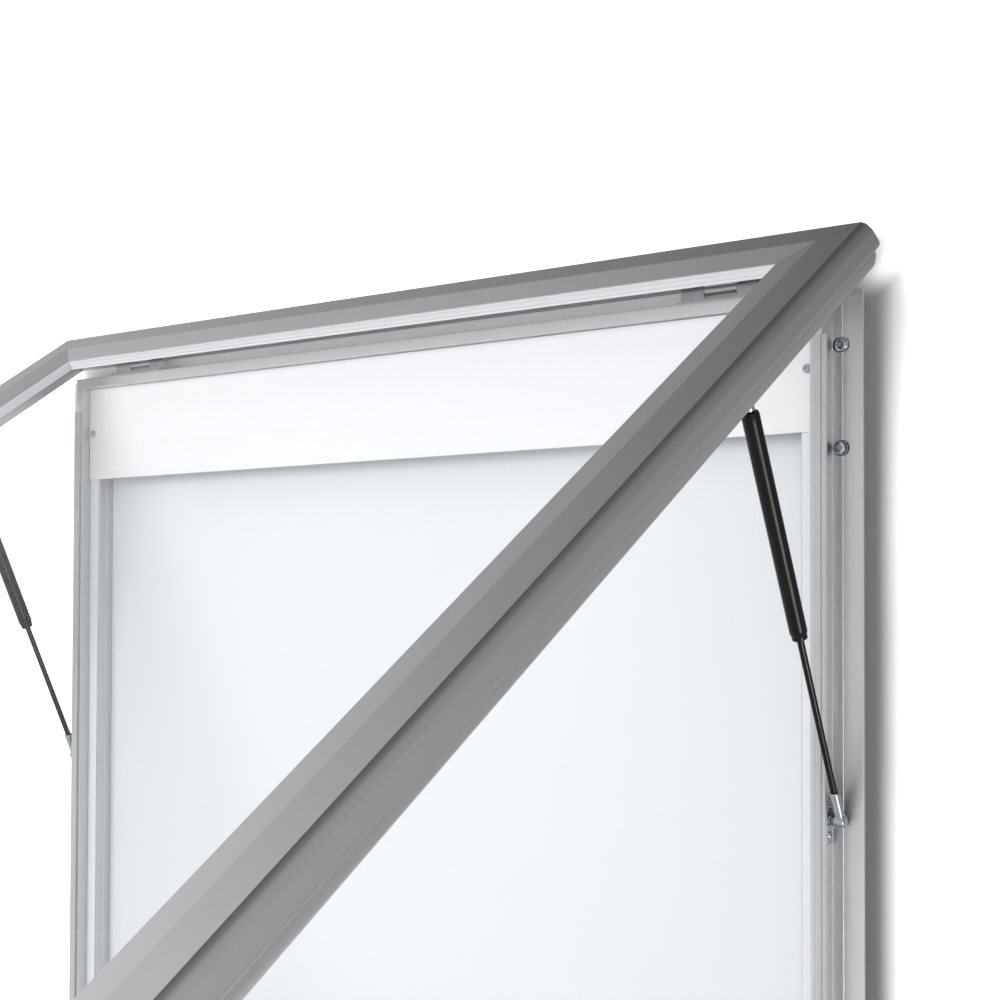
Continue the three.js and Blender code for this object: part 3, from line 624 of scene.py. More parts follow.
# A profile of radii and heights turned about its height: (r cos a, r sin a, h); an open profile
# starts and ends on the axis, from its lower end up, and a closed one makes a ring
def turned(profile, sides=48, closed=False):
    p = ordered(np.array(profile, float), True)
    if not closed:
        p = np.roll(p, -int(np.argmin(p[:, 1] + 1e6 * (p[:, 0] > 1e-9))), 0)
    rings = p if closed else p[1:-1]
    angle = np.linspace(0, 2 * math.pi, sides, endpoint=False)
    grid = np.stack([rings[:, :1] * np.cos(angle), rings[:, :1] * np.sin(angle),
                     np.repeat(rings[:, 1:], sides, 1)], 2)
    i = np.arange(len(rings) if closed else len(rings) - 1)[:, None]
    j = np.arange(sides)[None, :]
    k, m = (i + 1) % len(rings), (j + 1) % sides
    quads = np.stack([i * sides + j, i * sides + m, k * sides + m, k * sides + j], 2).reshape(-1, 4)
    if closed:
        return grid.reshape(-1, 3), quads.tolist()
    points = np.vstack([grid.reshape(-1, 3), [[0, 0, p[0, 1]]], [[0, 0, p[-1, 1]]]])
    last, end = (len(rings) - 1) * sides, len(points)
    j = np.arange(sides)
    m = (j + 1) % sides
    low = np.column_stack([m, j, np.full(sides, end - 2)])
    high = np.column_stack([last + j, last + m, np.full(sides, end - 1)])
    return points, quads.tolist() + low.tolist() + high.tolist()


# An outline given thickness: its points at one height and again at another
def plated(outline, low, high):
    ring = ordered(np.array(outline, float), True)
    n = len(ring)
    points = np.vstack([np.column_stack([ring, np.full(n, height)]) for height in (low, high)])
    i = np.arange(n)
    j = (i + 1) % n
    walls = np.column_stack([i, j, j + n, i + n]).tolist()
    return points, walls + [i[::-1].tolist(), (i + n).tolist()]


# A stadium: two half circles joined by straights
def stadium(length, height, steps=16):
    turn = np.linspace(-math.pi / 2, math.pi / 2, steps)
    half, radius = (length - height) / 2, height / 2
    right = np.column_stack([half + radius * np.cos(turn), radius * np.sin(turn)])
    return np.vstack([right, -right])


# Corners evenly round a circle: (r cos a, r sin a)
def polygon(radius, corners):
    angle = np.linspace(0, 2 * math.pi, corners, endpoint=False)
    return np.column_stack([radius * np.cos(angle), radius * np.sin(angle)])


# A cross of two bars, for a driver: three corners turned by 0, 90, 180 and 270 degrees
def crossShape(reach, half):
    quarter = np.array([(reach, half), (half, half), (half, reach)])
    turns = [np.array([[math.cos(a), -math.sin(a)], [math.sin(a), math.cos(a)]])
             for a in np.arange(4) * math.pi / 2]
    return np.vstack([quarter @ turn.T for turn in turns])


def moved(shape, place):
    # millimetres in the piece's own frame become metres in the part's frame
    turn, shift = np.array(place.to_3x3()), np.array(place.translation)
    return (shape[0] * mm @ turn.T + shift, *shape[1:])


def joined(shapes):
    points, faces, start = [], [], 0
    for shape in shapes:
        points.append(shape[0])
        faces += [[start + corner for corner in face] for face in shape[1]]
        start += len(shape[0])
    return np.concatenate(points), faces


def combine(piece, shapes, operation):
    # the shapes are cut out of the piece or united with it, and it keeps the mesh that comes of it
    other = meshObject("other", joined(shapes))
    step = piece.modifiers.new("combine", "BOOLEAN")
    step.operation, step.solver, step.object = operation, "EXACT", other
    data = bpy.data.meshes.new_from_object(piece.evaluated_get(bpy.context.evaluated_depsgraph_get()))
    piece.modifiers.clear()
    piece.data = data
    bpy.data.objects.remove(other)


def makePiece(name, shape, finish, body, replaced=(), cut=(), united=(), sharpAbove=32):
    # a piece with its finish, riding on its body in the place of the nodes that it replaces
    piece = meshObject(name, shape)
    if cut:
        combine(piece, cut, "DIFFERENCE")
    if united:
        combine(piece, united, "UNION")
    piece.data.materials.clear()
    piece.data.materials.append(finishes[finish])
    piece.data.polygons.foreach_set("use_smooth", np.ones(len(piece.data.polygons), bool))
    piece.data.set_sharp_from_angle(angle=math.radians(sharpAbove))
    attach(piece, body)
    if replaced:
        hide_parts(*replaced)


# The four sides of a frame: a turn about y, and which way it lies
frameSides = {"right": (0, 1, 0), "top": (-90, 0, 1), "left": (180, -1, 0), "bottom": (90, 0, -1)}


def sideBar(key, loops, sizes, place, trims):
    # a section carried along one side of the case or the door
    turn, x, z = frameSides[key]
    length = sizes["height"] if key in sideSigns else sizes["width"]
    middle = shifted(x * sizes["width"] / 2, 0, z * sizes["height"] / 2)
    shape = carried(loops, length, *trims)
    return moved(shape, place @ middle @ Matrix.Rotation(math.radians(turn), 4, "Y"))


# How a bar's end is cut, by how far outwards a point lies: on the slant, on the slant up to the corner
# and square beyond it, or square
def mitre(outward):
    return doorSizes["gap"] / 2 - outward


def squareChamber(outward):
    return doorSizes["gap"] / 2 - np.minimum(outward, 0)


def squareEnd(outward):
    return outward * 0


# Case bars: x outwards from the lip's outer face, y back from its front
def caseLoops(case, fixing):
    lip, depth, wall, step = case["lip"], case["depth"], case["wall"], case["step"]
    ledgeDepth, line, lineDepth = case["ledgeDepth"], case["wallLine"], case["wallLineDepth"]
    inner, ledgeBack = -(lip + case["ledge"]), ledgeDepth + case["stepDepth"]
    panelFront, panelEdge = depth - case["panel"] - case["gap"], inner + case["lap"]
    front = [
        (inner, panelFront), (inner, lineDepth + line), (inner + line, lineDepth), (inner, lineDepth - line),
        (inner, ledgeBack), (inner + step, ledgeBack), (inner + step, ledgeDepth), (-lip, ledgeDepth),
        (-lip, 0), (0, 0),
    ]
    back = [(panelEdge, depth), (panelEdge, panelFront)]
    hollow = [
        (-wall, wall), (-wall, depth - wall), (panelEdge + wall, depth - wall),
        (panelEdge + wall, panelFront - wall), (inner + wall, panelFront - wall),
        (inner + wall, ledgeBack + wall), (wall - lip, ledgeBack + wall), (wall - lip, wall),
    ]
    if not fixing:
        return [rounded(front + [(0, depth)] + back, case["soft"]), np.array(hollow)]
    flangeDepth, reach, grooveOut, groove = (
        case[key] for key in ("flangeDepth", "flangeReach", "grooveOut", "groove"))
    flangeBack, chamber = flangeDepth + case["flangeWall"], case["chamber"]
    flange = [
        (0, flangeDepth), (grooveOut - groove, flangeDepth), (grooveOut, flangeDepth + groove),
        (grooveOut + groove, flangeDepth), (reach, flangeDepth), (reach, flangeBack),
        (chamber, flangeBack), (chamber, depth),
    ]
    chamberHollow = [
        (0, flangeBack), (0, depth - wall), (chamber - wall, depth - wall), (chamber - wall, flangeBack),
    ]
    return [rounded(front + flange + back, case["soft"]), np.array(hollow), np.array(chamberHollow)]


fixingSizes = {
    "slotLength": 16, "slotHeight": 13.5, "slotOut": 8.6,
    "roundBelow": 47, "capBelow": 137, "lowAbove": 110,
    "screw": 2.8, "sleeve": 4.4, "washer": (6.6, 1), "washerBehind": 0.5,
    "fit": 0.3, "holeSides": 24, "overrun": 5,
}
roundHead = {"radius": 5.6, "proud": 1, "dome": 1.2, "socket": 2.35, "socketDepth": 2.2}
capHead = {"radius": 5.6, "proud": 5.2, "dome": 0.7, "socket": 2.9, "socketDepth": 4}
headerSizes = {
    "bottom": 122, "inset": 8, "thick": 3, "screw": 1.8, "head": 3.9, "headHeight": 2.4, "dome": 1.2,
    "length": 9, "collar": 4, "coreShare": 0.9, "crossShare": 0.55, "crossHalf": 0.45, "crossDepth": 1.4,
}


def fixingHeights(case, fix):
    top = case["height"] / 2
    return {"round": top - fix["roundBelow"], "cap": top - fix["capBelow"], "low": fix["lowAbove"] - top}


def headerScrewPlace(case, header, side):
    across = case["width"] / 2 - case["lip"] - header["inset"]
    up = case["height"] / 2 - (case["lip"] + header["bottom"]) / 2
    return casePlace @ shifted(side * across, 0, up) @ alongY


def sideTools(case, fix, header, side):
    # cutters through a side bar: its slots, the screw holes behind them and the header's screw hole
    fit, past, wall = fix["fit"], fix["overrun"], case["wall"]
    across = side * (case["width"] / 2 + fix["slotOut"])
    slot = plated(stadium(fix["slotLength"], fix["slotHeight"]), case["flangeDepth"] - past,
                  case["flangeDepth"] + case["flangeWall"] + fit)
    hole = plated(polygon(fix["screw"] + fit, fix["holeSides"]), case["depth"] - wall - fit,
                  case["depth"] + past)
    tools = [moved(shape, casePlace @ shifted(across, 0, up) @ alongY)
             for up in fixingHeights(case, fix).values() for shape in (slot, hole)]
    headerHole = plated(polygon(header["screw"] + fit, fix["holeSides"]), case["ledgeDepth"] - past,
                        case["ledgeDepth"] + case["stepDepth"] + wall + fit)
    return tools + [moved(headerHole, headerScrewPlace(case, header, side))]


def buildCaseBars(case, fix, header):
    trims = {"top": (mitre, mitre), "bottom": (mitre, mitre), "right": (mitre, squareChamber),
             "left": (squareChamber, mitre)}
    for key, ends in trims.items():
        shape = sideBar(key, caseLoops(case, key != "top"), case, casePlace, ends)
        tools = sideTools(case, fix, header, sideSigns[key]) if key in sideSigns else ()
        makePiece(f"case_bar_{key}", shape, "satin", "case", [f"case_{key}_rail"], tools)


buildCaseBars(caseSizes, fixingSizes, headerSizes)
print("case bars drawn")


stripSizes = {"thick": 0.4, "inset": 0.1, "seat": 0.02, "soft": 0.1, "headerGap": 0.3}


def buildLedgeStrips(case, header, strip):
    # white facing on the ledge, below the header
    outer = -case["lip"] - strip["inset"]
    inner = -(case["lip"] + case["ledge"]) + case["step"] + strip["inset"]
    front, back = case["ledgeDepth"] - strip["thick"], case["ledgeDepth"] - strip["seat"]
    section = [(outer, front), (inner, front), (inner, back), (outer, back)]
    loops = [rounded(section, strip["soft"], guard=strip["soft"])]

    def underHeader(outward):
        return outward * 0 + header["bottom"] + strip["headerGap"]

    trims = {"right": (mitre, underHeader), "bottom": (mitre, mitre), "left": (underHeader, mitre)}
    for key, ends in trims.items():
        makePiece(f"ledge_strip_{key}", sideBar(key, loops, case, casePlace, ends), "panel", "case")


buildLedgeStrips(caseSizes, headerSizes, stripSizes)


# Door bars: x outwards from the crease, y back from the flat front land; the skirt's curve is in shares
# of its reach and depth
skirtRearShares = [
    (-0.21, 1), (0.06, 0.98), (0.26, 0.94), (0.38, 0.89), (0.47, 0.83), (0.55, 0.75), (0.55, 0.68),
]
skirtFrontShares = [
    (0.71, 0.64), (0.93, 0.6), (1, 0.55), (1, 0.52), (0.89, 0.38), (0.79, 0.26), (0.65, 0.17),
    (0.5, 0.093), (0.34, 0.043), (0.16, 0),
]


def doorLoops(door):
    land, wall, box, drop = door["land"], door["wall"], door["box"], door["bevelDrop"]
    depth, inset, pocket = door["skirtDepth"], door["skirtInset"], door["pocketInset"]
    reveal, pocketBack = land + door["bevel"], box + door["pocketDepth"]
    skirt = np.array(skirtRearShares + skirtFrontShares) * (door["skirtReach"], depth)
    rearPoints = len(skirtRearShares)
    rear, front = throughPoints(skirt[:rearPoints], 3), throughPoints(skirt[rearPoints:], 4)
    rear[:, 1] = np.minimum(rear[:, 1], depth)
    front[:, 0] = np.minimum(front[:, 0], door["skirtReach"])
    inside = [
        (-land, 0), (-reveal, drop), (-reveal, box), (-pocket, box), (-pocket, pocketBack),
        (wall - pocket, pocketBack), (wall - pocket, box), (-inset, box), (-inset, depth),
    ]
    corners = np.vstack([inside, rear, front])
    radii = np.full(len(corners), door["skirtSoft"])
    radii[:len(inside)] = door["edgeSoft"]
    radii[0], radii[-1] = door["landSoft"], door["creaseSoft"]
    low, high = (share * depth for share in door["hollowShares"])
    behindSkirt = skirt[(skirt[:, 1] > low) & (skirt[:, 1] < high)] - (wall, 0)
    face = wall - inset
    hollow = np.vstack([
        [(-land, wall), (wall - reveal, drop + wall), (wall - reveal, box - wall), (face, box - wall),
         (face, behindSkirt[0][1])], behindSkirt, [(0, wall)]])
    return [rounded(corners, radii), hollow]


lockSizes = {
    "fromEnd": 190, "inset": 14, "body": 7.6, "bodyDepth": 24,
    "head": 10, "headHeight": 2.2, "headSoft": 1.2, "plug": 5, "plugEdge": 0.4,
    "camDepth": 29, "camThick": 3, "camLength": 14, "camHalf": 4.8, "camSeat": 0.05,
    "keyLong": 6.4, "keyWide": 1.6, "keyDepth": 9, "keyOverrun": 2,
    "fit": 0.3, "holeSides": 40, "overrun": 5,
}


def lockPlace(hand, door, lock):
    across = sideSigns[hand] * (door["width"] / 2 - lock["fromEnd"])
    return doorPlace @ shifted(across, 0, lock["inset"] - door["height"] / 2)


def buildDoorBars(door, lock):
    outline = polygon(lock["body"] + lock["fit"], lock["holeSides"])
    hole = plated(outline, -lock["overrun"], door["box"] + lock["overrun"])
    lockHoles = [moved(hole, lockPlace(hand, door, lock) @ alongY) for hand in sideSigns]
    for key in frameSides:
        node = f"door_{key}_stile" if key in sideSigns else f"door_{key}_rail"
        shape = sideBar(key, doorLoops(door), door, doorPlace, (mitre, mitre))
        tools = lockHoles if key == "bottom" else ()
        makePiece(f"door_bar_{key}", shape, "bar", "door", [node], tools, sharpAbove=26)


# The seal's section: how far each point stands off the skirt's inner face, and how far ahead of its edge
topSealSizes = {
    "points": [(-0.1, 18), (0.7, 17.5), (0.7, 9), (1.3, 8.4), (1.3, 7), (0.7, 6.4), (0.7, 1), (-0.1, 0.5)],
    "soft": 0.2, "guard": 0.1,
}


def buildTopSeal(door, seal):
    # a pale flat seal inside the top rail's skirt, over the hinges
    section = [(-door["skirtInset"] - off, door["skirtDepth"] - ahead) for off, ahead in seal["points"]]
    loops = [rounded(section, seal["soft"], guard=seal["guard"])]
    makePiece("top_seal", sideBar("top", loops, door, doorPlace, (mitre, mitre)), "wedge", "door")


buildDoorBars(doorSizes, lockSizes)
buildTopSeal(doorSizes, topSealSizes)
print("door bars drawn")


# The lining's section: how far each point stands off the reveal, and how far it is behind the lining's
# front or ahead of its back
glazingSizes = {
    "shoulderShare": 0.55, "lipShare": 0.5, "soft": 0.3,
    "frontGap": 0.8, "backGap": 0.3, "liningSoft": 0.12, "guard": 0.1,
    "liningFront": [
        (-0.2, 0), (0.9, 0.3), (0.9, 1.5), (0.45, 2.1), (0.45, 5), (0.8, 5.4), (0.8, 6.6), (0.45, 7),
    ],
    "liningBack": [(0.45, 1.6), (1.2, 1.1), (1.2, 0), (-0.2, 0)],
}


def buildGlazing(door, glazing):
    # a dark rubber behind the glass, and a pale ribbed lining of the reveal in front of it
    width, thick = door["beadWidth"], door["beadThick"]
    edge, front = -(door["pocketInset"] + door["gap"]), door["box"] + door["glass"] + 2 * door["gap"]
    rubber = [
        (edge, front), (edge, front + thick), (edge - width * glazing["shoulderShare"], front + thick),
        (edge - width, front + thick * glazing["lipShare"]), (edge - width, front),
    ]
    face = -(door["land"] + door["bevel"])
    start, end = door["bevelDrop"] + glazing["frontGap"], door["box"] - glazing["backGap"]
    lining = ([(face - off, start + behind) for off, behind in glazing["liningFront"]]
              + [(face - off, end - ahead) for off, ahead in glazing["liningBack"]])
    rubberLoops = [rounded(rubber, glazing["soft"])]
    liningLoops = [rounded(lining, glazing["liningSoft"], guard=glazing["guard"])]
    for key in frameSides:
        shape = sideBar(key, rubberLoops, door, doorPlace, (mitre, mitre))
        makePiece(f"glazing_rubber_{key}", shape, "gasket", "door", [f"glazing_bead_{key}"])
        shape = sideBar(key, liningLoops, door, doorPlace, (mitre, mitre))
        makePiece(f"glazing_wedge_{key}", shape, "wedge", "door")


buildGlazing(doorSizes, glazingSizes)
print("glazing done")


# A rib starts, crests and ends at shares of the seal's width
sealSizes = {
    "width": 8, "thick": 2.5, "sideReach": 3.2, "sideDepth": 3.5, "step": 0.9, "topGap": 40, "inset": 0.3,
    "soft": 0.3, "rib": 0.5, "ribShares": [(0.7, 0.64, 0.58), (0.34, 0.28, 0.22)],
}


def buildSeals(case, seal):
    # a ribbed strip over the front and the outer side of each side lip
    width, front, inset = seal["width"], -seal["thick"], seal["inset"]
    crestFront = front + seal["rib"]
    ribs = [point for start, crest, end in seal["ribShares"]
            for point in ((-width * start, front), (-width * crest, crestFront), (-width * end, front))]
    section = [
        (-width, 0), (-width, front), *ribs, (-inset, front), (-inset, -seal["step"]),
        (seal["sideReach"], -seal["step"]), (seal["sideReach"], seal["sideDepth"]),
        (0, seal["sideDepth"]), (0, 0),
    ]
    length = case["height"] - seal["topGap"] - seal["sideReach"]
    place = casePlace @ shifted(0, 0, case["height"] / 2 - seal["topGap"] - length / 2)
    for hand, side in sideSigns.items():
        loop = rounded(section, seal["soft"]) * (side, 1) + (side * case["width"] / 2, 0)
        shape = moved(carried([loop], length, squareEnd, squareEnd), place)
        makePiece(f"weather_strip_{hand}", shape, "seal", "case", [f"lip_seal_{hand}"])


buildSeals(caseSizes, sealSizes)


# A screw's radii and depths, turned about y with its domed head in front: (head - dome + dome sin a,
# front + dome - dome cos a), then any washer, the sleeve up to its seat, and the shank
def screwProfile(front, dome, head, height, sleeve, seat, shank, end, washer=()):
    angle = np.linspace(0, math.pi / 2, 7)
    cap = [(head - dome + dome * math.sin(a), front + dome - dome * math.cos(a)) for a in angle]
    under = front + height
    ring = [(washer[0], under), (washer[0], under + washer[1])] if washer else []
    base = ring[-1][1] if washer else under
    return [(0, front), *cap, (head, under), *ring, (sleeve, base), (sleeve, seat),
            (shank, seat), (shank, end), (0, end)]


def buildWallScrews(hand, side, case, fix):
    # each with its washer and spacer sleeve, which seats on the inside of the case's back
    heads = {"round": roundHead, "cap": capHead, "low": roundHead}
    across = side * (case["width"] / 2 + fix["slotOut"])
    for kind, up in fixingHeights(case, fix).items():
        head, place = heads[kind], casePlace @ shifted(across, 0, up) @ alongY
        front = case["flangeDepth"] - head["proud"]
        profile = screwProfile(front, head["dome"], head["radius"], head["proud"] + fix["washerBehind"],
                               fix["sleeve"], case["depth"] - case["wall"], fix["screw"], case["depth"],
                               fix["washer"])
        socket = plated(polygon(head["socket"], 6), front - fix["overrun"], front + head["socketDepth"])
        makePiece(f"fixing_{kind}_{hand}", moved(turned(profile), place), "zinc", "case",
                  [f"wall_screw_{kind}_{hand}"], [moved(socket, place)])


def buildHeaderScrew(hand, side, case, fix, header):
    place = headerScrewPlace(case, header, side)
    front = case["ledgeDepth"] - header["thick"] - header["headHeight"]
    profile = screwProfile(front, header["dome"], header["head"], header["headHeight"], header["screw"],
                           front + header["collar"], header["screw"] * header["coreShare"],
                           front + header["headHeight"] + header["length"])
    cross = crossShape(header["head"] * header["crossShare"], header["crossHalf"])
    driver = plated(cross, front - fix["overrun"], front + header["crossDepth"])
    makePiece(f"header_fixing_{hand}", moved(turned(profile, 32), place), "zinc", "case",
              [f"header_screw_{hand}"], [moved(driver, place)])


for hand, side in sideSigns.items():
    buildWallScrews(hand, side, caseSizes, fixingSizes)
    buildHeaderScrew(hand, side, caseSizes, fixingSizes, headerSizes)
print("fixings turned")


# The clip groove is a list of depths and of heights above the cup's open end
strutSizes = {
    "length": 399.84, "fit": 0.3, "tube": 199, "tubeRadius": 7.5, "tubeEndWall": 10, "neck": 6.6,
    "neckLength": 3, "neckShare": 0.9, "neckEdge": 0.5, "straightFrom": 9, "shoulder": 0.3, "endEdge": 0.6,
    "rod": 3, "rodHeld": 40, "rodEdge": 0.3, "socket": 28, "shank": 4.6, "shankFrom": 2, "shankEdge": 0.6,
    "cup": 5.7, "cupLength": 12, "cupDome": 2.6, "domeFrom": 0.15, "cupEdge": 0.3, "cupOverlap": 0.6,
    "clipGroove": [(0, 2.9), (0.5, 2.6), (0.5, 1.8), (0, 1.5)],
    "hollowFrom": 0.5, "hollowFlat": 0.2, "hollowAngles": (1.3, 0.2),
    "ball": 4, "ballNeck": 2.4, "flange": 4.4, "flangeLength": 2.5, "flangeEdge": 0.3, "upperNeck": 12.2,
}


# The tube's radii and heights: its lower end is rolled in, and widens with the square of a share along it;
# a point near each end of the straight keeps its shading flat
def tubeProfile(strut):
    bore, end, neck, wide = strut["rod"] + strut["fit"], strut["tube"], strut["neck"], strut["tubeRadius"]
    endWall, straight, length = end - strut["tubeEndWall"], strut["straightFrom"], strut["neckLength"]
    roll = [(neck + (wide - neck) * share ** 2, length * (1 + share)) for share in np.linspace(0, 1, 6)]
    return [
        (0, endWall), (bore, endWall), (bore, 0), (neck - strut["neckEdge"], 0), (neck, strut["neckEdge"]),
        (neck, length * strut["neckShare"]), *roll, (wide, straight), (wide, end - straight),
        (wide, end - length), (neck + strut["shoulder"], end - strut["endEdge"]),
        (neck - strut["endEdge"], end), (0, end),
    ]


def rodProfile(strut):
    rod, edge = strut["rod"], strut["rodEdge"]
    end = strut["length"] - 2 * strut["socket"] - strut["tube"] + strut["rodHeld"]
    return [(0, 0), (rod - edge, 0), (rod, edge), (rod, end - edge), (rod - edge, end), (0, end)]


# The cup's radii and heights: a dome (r sin a, h + d cos a), a clip groove, and a hollow for the ball
# (bore sin a, from + rise cos a)
def cupProfile(strut):
    half, cup, edge, dome = strut["cupLength"] / 2, strut["cup"], strut["cupEdge"], strut["cupDome"]
    bore, start = strut["ball"] + strut["fit"], strut["hollowFrom"]
    rise = bore - strut["hollowFlat"]
    closedEnd = [(cup * math.sin(a), half - dome + dome * math.cos(a))
                 for a in np.linspace(strut["domeFrom"], math.pi / 2, 7)]
    groove = [(cup - deep, up - half) for deep, up in strut["clipGroove"]]
    hollow = [(bore * math.sin(a), start + rise * math.cos(a))
              for a in np.linspace(*strut["hollowAngles"], 5)]
    return [(0, half), *closedEnd, *groove, (cup, edge - half), (cup - edge, -half), (bore, -half),
            (bore, start), *hollow, (0, start + rise)]


def shankProfile(strut):
    radius, low, high, edge = strut["shank"], strut["shankFrom"], strut["socket"], strut["shankEdge"]
    return [(0, low), (radius, low), (radius, high - edge), (radius - edge, high), (0, high)]


def buildSocket(name, node, body, place, strut, cupTurn, shankTurn):
    # the fitting at a ball: a cup across the strut, united with a shank that points along it
    cupPlace = place @ Matrix.Rotation(math.radians(cupTurn), 4, "Y")
    shankPlace = place @ Matrix.Rotation(math.radians(shankTurn), 4, "X")
    bore = plated(polygon(strut["cup"] - strut["cupOverlap"], 40), -strut["cupLength"], strut["cupLength"])
    makePiece(name, moved(turned(shankProfile(strut), 40), shankPlace), "zinc", body, [node],
              [moved(bore, cupPlace)], [moved(turned(cupProfile(strut)), cupPlace)])


# A ball on a flanged stud: (r sin a, -r cos a) from where its neck meets it to its pole
def ballProfile(strut):
    ball, neck, flange, edge = strut["ball"], strut["upperNeck"], strut["flange"], strut["flangeEdge"]
    top = strut["flangeLength"] - neck
    start = math.asin(strut["ballNeck"] / ball)
    arc = [(ball * math.sin(a), -ball * math.cos(a)) for a in np.linspace(start, math.pi, 14)[:-1]]
    return [(0, -neck), (flange - edge, -neck), (flange, -neck + edge), (flange, top - edge),
            (flange - edge, top), (strut["ballNeck"], top), *arc, (0, ball)]


def buildStruts(strut):
    for hand, side in sideSigns.items():
        place = strutPlace(hand)
        rodPlace = place @ shifted(0, 0, strut["socket"])
        tubePlace = place @ shifted(0, 0, strut["length"] - strut["socket"] - strut["tube"])
        topPlace = place @ shifted(0, 0, strut["length"])
        ballPlace = topPlace @ Matrix.Rotation(math.radians(-90 * side), 4, "Y")
        makePiece(f"rod_{hand}", moved(turned(rodProfile(strut), 32), rodPlace), "rod",
                  f"{hand}_rod", [f"strut_rod_{hand}"])
        makePiece(f"tube_{hand}", moved(turned(tubeProfile(strut), 56), tubePlace), "paint",
                  f"{hand}_tube", [f"strut_tube_{hand}"])
        buildSocket(f"rod_socket_{hand}", f"strut_rod_socket_{hand}", f"{hand}_rod", place, strut,
                    90 * side, 0)
        buildSocket(f"tube_socket_{hand}", f"strut_tube_socket_{hand}", f"{hand}_tube", topPlace, strut,
                    -90 * side, 180)
        makePiece(f"upper_ball_{hand}", moved(turned(ballProfile(strut)), ballPlace), "zinc",
                  f"{hand}_tube", [f"strut_upper_ball_{hand}"])


buildStruts(strutSizes)
print("struts done")


# The barrel's rim is a quarter round: (head - soft + soft cos a, top + soft - soft sin a)
def barrelProfile(lock):
    head, soft, top, under = lock["head"], lock["headSoft"], -lock["headHeight"], -lock["fit"]
    bore, body, depth = lock["plug"] + lock["fit"], lock["body"], lock["bodyDepth"]
    rim = [(head - soft + soft * math.cos(a), top + soft - soft * math.sin(a))
           for a in np.linspace(0, math.pi / 2, 6)]
    return [(bore, depth), (bore, top), *rim[::-1], (head, under), (body, under), (body, depth)]


def plugProfile(lock):
    plug, edge, top, depth = lock["plug"], lock["plugEdge"], -lock["headHeight"], lock["camDepth"]
    return [(0, top), (plug - edge, top), (plug, top + edge), (plug, depth), (0, depth)]


def buildLocks(door, lock):
    # a barrel in the rail, and a plug with its keyway and its cam, which points towards the nearer end
    top, depth, half = -lock["headHeight"], lock["camDepth"], lock["camHalf"]
    slit = stadium(lock["keyLong"], lock["keyWide"], 6)
    keyway = plated(slit, top - lock["keyOverrun"], top + lock["keyDepth"])
    barrel, plug = turned(barrelProfile(lock), 56, closed=True), turned(plugProfile(lock), 40)
    for hand, side in sideSigns.items():
        place = lockPlace(hand, door, lock) @ alongY
        outline = stadium(lock["camLength"] + half, 2 * half) * (side, 1)
        outline = outline + (side * (lock["camLength"] - half) / 2, 0)
        cam = plated(outline, depth + lock["camSeat"], depth + lock["camThick"])
        makePiece(f"barrel_{hand}", moved(barrel, place), "zinc", "door", [f"lock_barrel_{hand}"])
        makePiece(f"cam_{hand}", moved(joined([plug, cam]), place), "zinc", f"{hand}_lock",
                  [f"lock_cam_{hand}"], [moved(keyway, place)])


buildLocks(doorSizes, lockSizes)
print("locks done")


# A head's quarter round, turned: (r cos a, h sin a)
def domedHead(radius, height):
    angle = np.linspace(0, math.pi / 2, 7)
    return [(0, 0), *[(radius * math.cos(a), height * math.sin(a)) for a in angle]]


def buildScrewHeads(name, body, screw, places):
    # round heads with a cross in each, as one piece
    head = turned(domedHead(screw["head"], screw["height"]), 32)
    driver = plated(crossShape(*screw["cross"]), screw["crossFloor"], screw["crossTop"])
    makePiece(name, joined([moved(head, place) for place in places]), "zinc", body, (),
              [moved(driver, place) for place in places])


plateScrewSizes = {
    "head": 3.4, "height": 1.8, "cross": (1.9, 0.4), "crossFloor": 0.7, "crossTop": 5,
    "apart": 26, "back": 10.1, "face": 2, "ballBelowTop": 458,
}


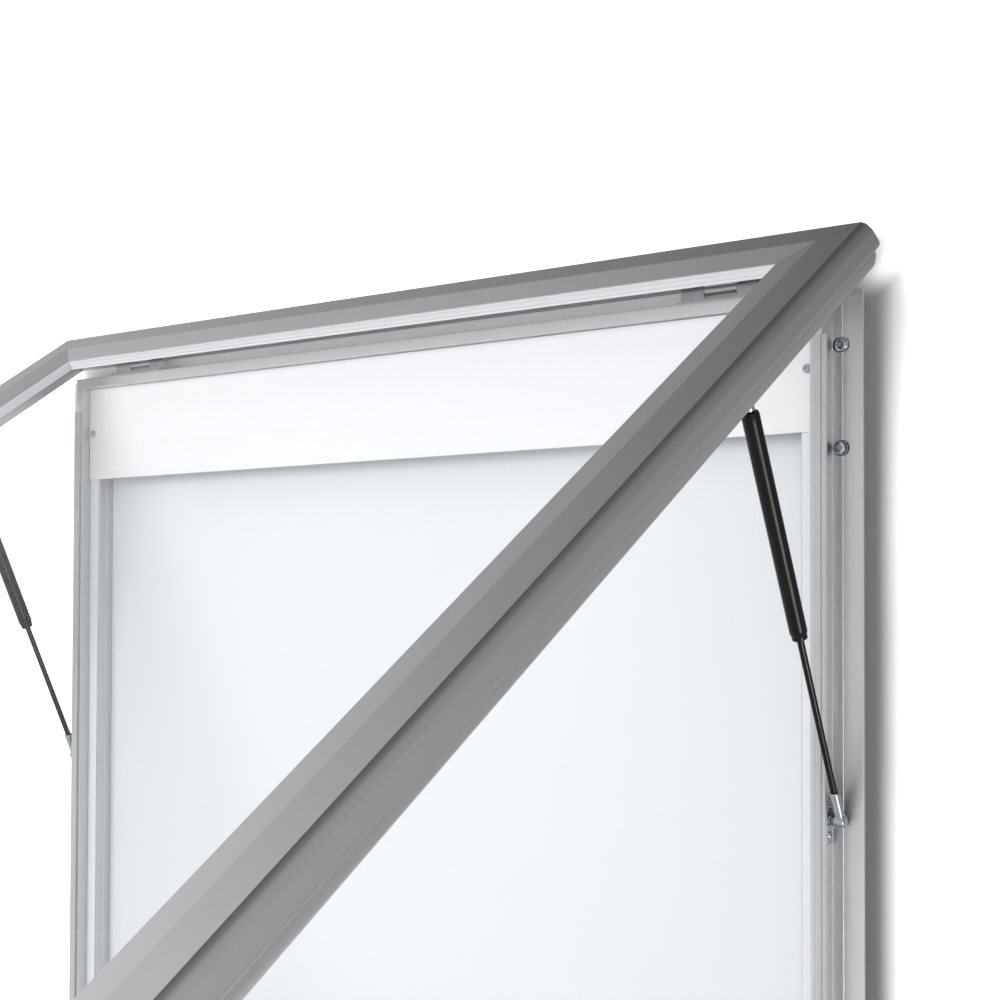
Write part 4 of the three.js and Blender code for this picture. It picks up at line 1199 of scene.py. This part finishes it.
def buildPlateScrews(case, screw):
    # two heads on each lower strut plate
    ballUp = case["height"] / 2 - screw["ballBelowTop"]
    for hand, side in sideSigns.items():
        across = side * (case["width"] / 2 + screw["face"])
        turn = Matrix.Rotation(math.radians(90 * side), 4, "Y")
        places = [casePlace @ shifted(across, screw["back"], ballUp + sign * screw["apart"] / 2) @ turn
                  for sign in (-1, 1)]
        buildScrewHeads(f"plate_screws_{hand}", "case", screw, places)


hingeScrewSizes = {
    "head": 3.6, "height": 1.2, "cross": (1.9, 0.4), "crossFloor": 0.4, "crossTop": 5,
    "apart": 56, "leafBack": 19, "leafUp": 542, "footBack": 19.3, "footUp": 559.7,
}


def buildHingeScrews(screw):
    # two heads on each hinge's case leaf and two on its door foot
    leaf = casePlace @ shifted(0, screw["leafBack"], screw["leafUp"])
    foot = doorPlace @ shifted(0, screw["footBack"], screw["footUp"]) @ alongY
    for hand in sideSigns:
        low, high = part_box(f"hinge_case_leaf_{hand}")
        middle = (low[0] + high[0]) / 2 / mm
        for name, body, base in (("leaf", "case", leaf), ("foot", "door", foot)):
            places = [base @ shifted(middle + sign * screw["apart"] / 2, 0, 0) for sign in (-1, 1)]
            buildScrewHeads(f"hinge_{name}_screws_{hand}", body, screw, places)


buildPlateScrews(caseSizes, plateScrewSizes)
buildHingeScrews(hingeScrewSizes)
print("small screws done")


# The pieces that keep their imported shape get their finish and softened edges, in metres
keptPieces = {
    "zinc": ("case_corner_key", "door_corner_key", "strut_bracket", "door_strut_bracket", "lock_keeper",
             "hinge_pin"),
    "mill": ("hinge_case_leaf", "hinge_door_leaf"),
    "panel": ("back_panel",),
    "header": ("header_panel",),
    "glass": ("door_glass",),
}
keptSizes = {"weld": 0.00001, "edge": 0.0003, "segments": 2, "edgeAngle": 40}


def dressKept(kept, sizes):
    for finish, starts in kept.items():
        for node in (name for name in frame["nodes"] if name.startswith(starts)):
            piece = frame["nodes"][node]
            piece.material_slots[0].material = finishes[finish]
            weld = piece.modifiers.new("weld", "WELD")
            weld.merge_threshold = sizes["weld"]
            bevel = piece.modifiers.new("edges", "BEVEL")
            bevel.width, bevel.segments = sizes["edge"], sizes["segments"]
            bevel.limit_method, bevel.angle_limit = "ANGLE", math.radians(sizes["edgeAngle"])


dressKept(keptPieces, keptSizes)
print("packed pieces dressed")
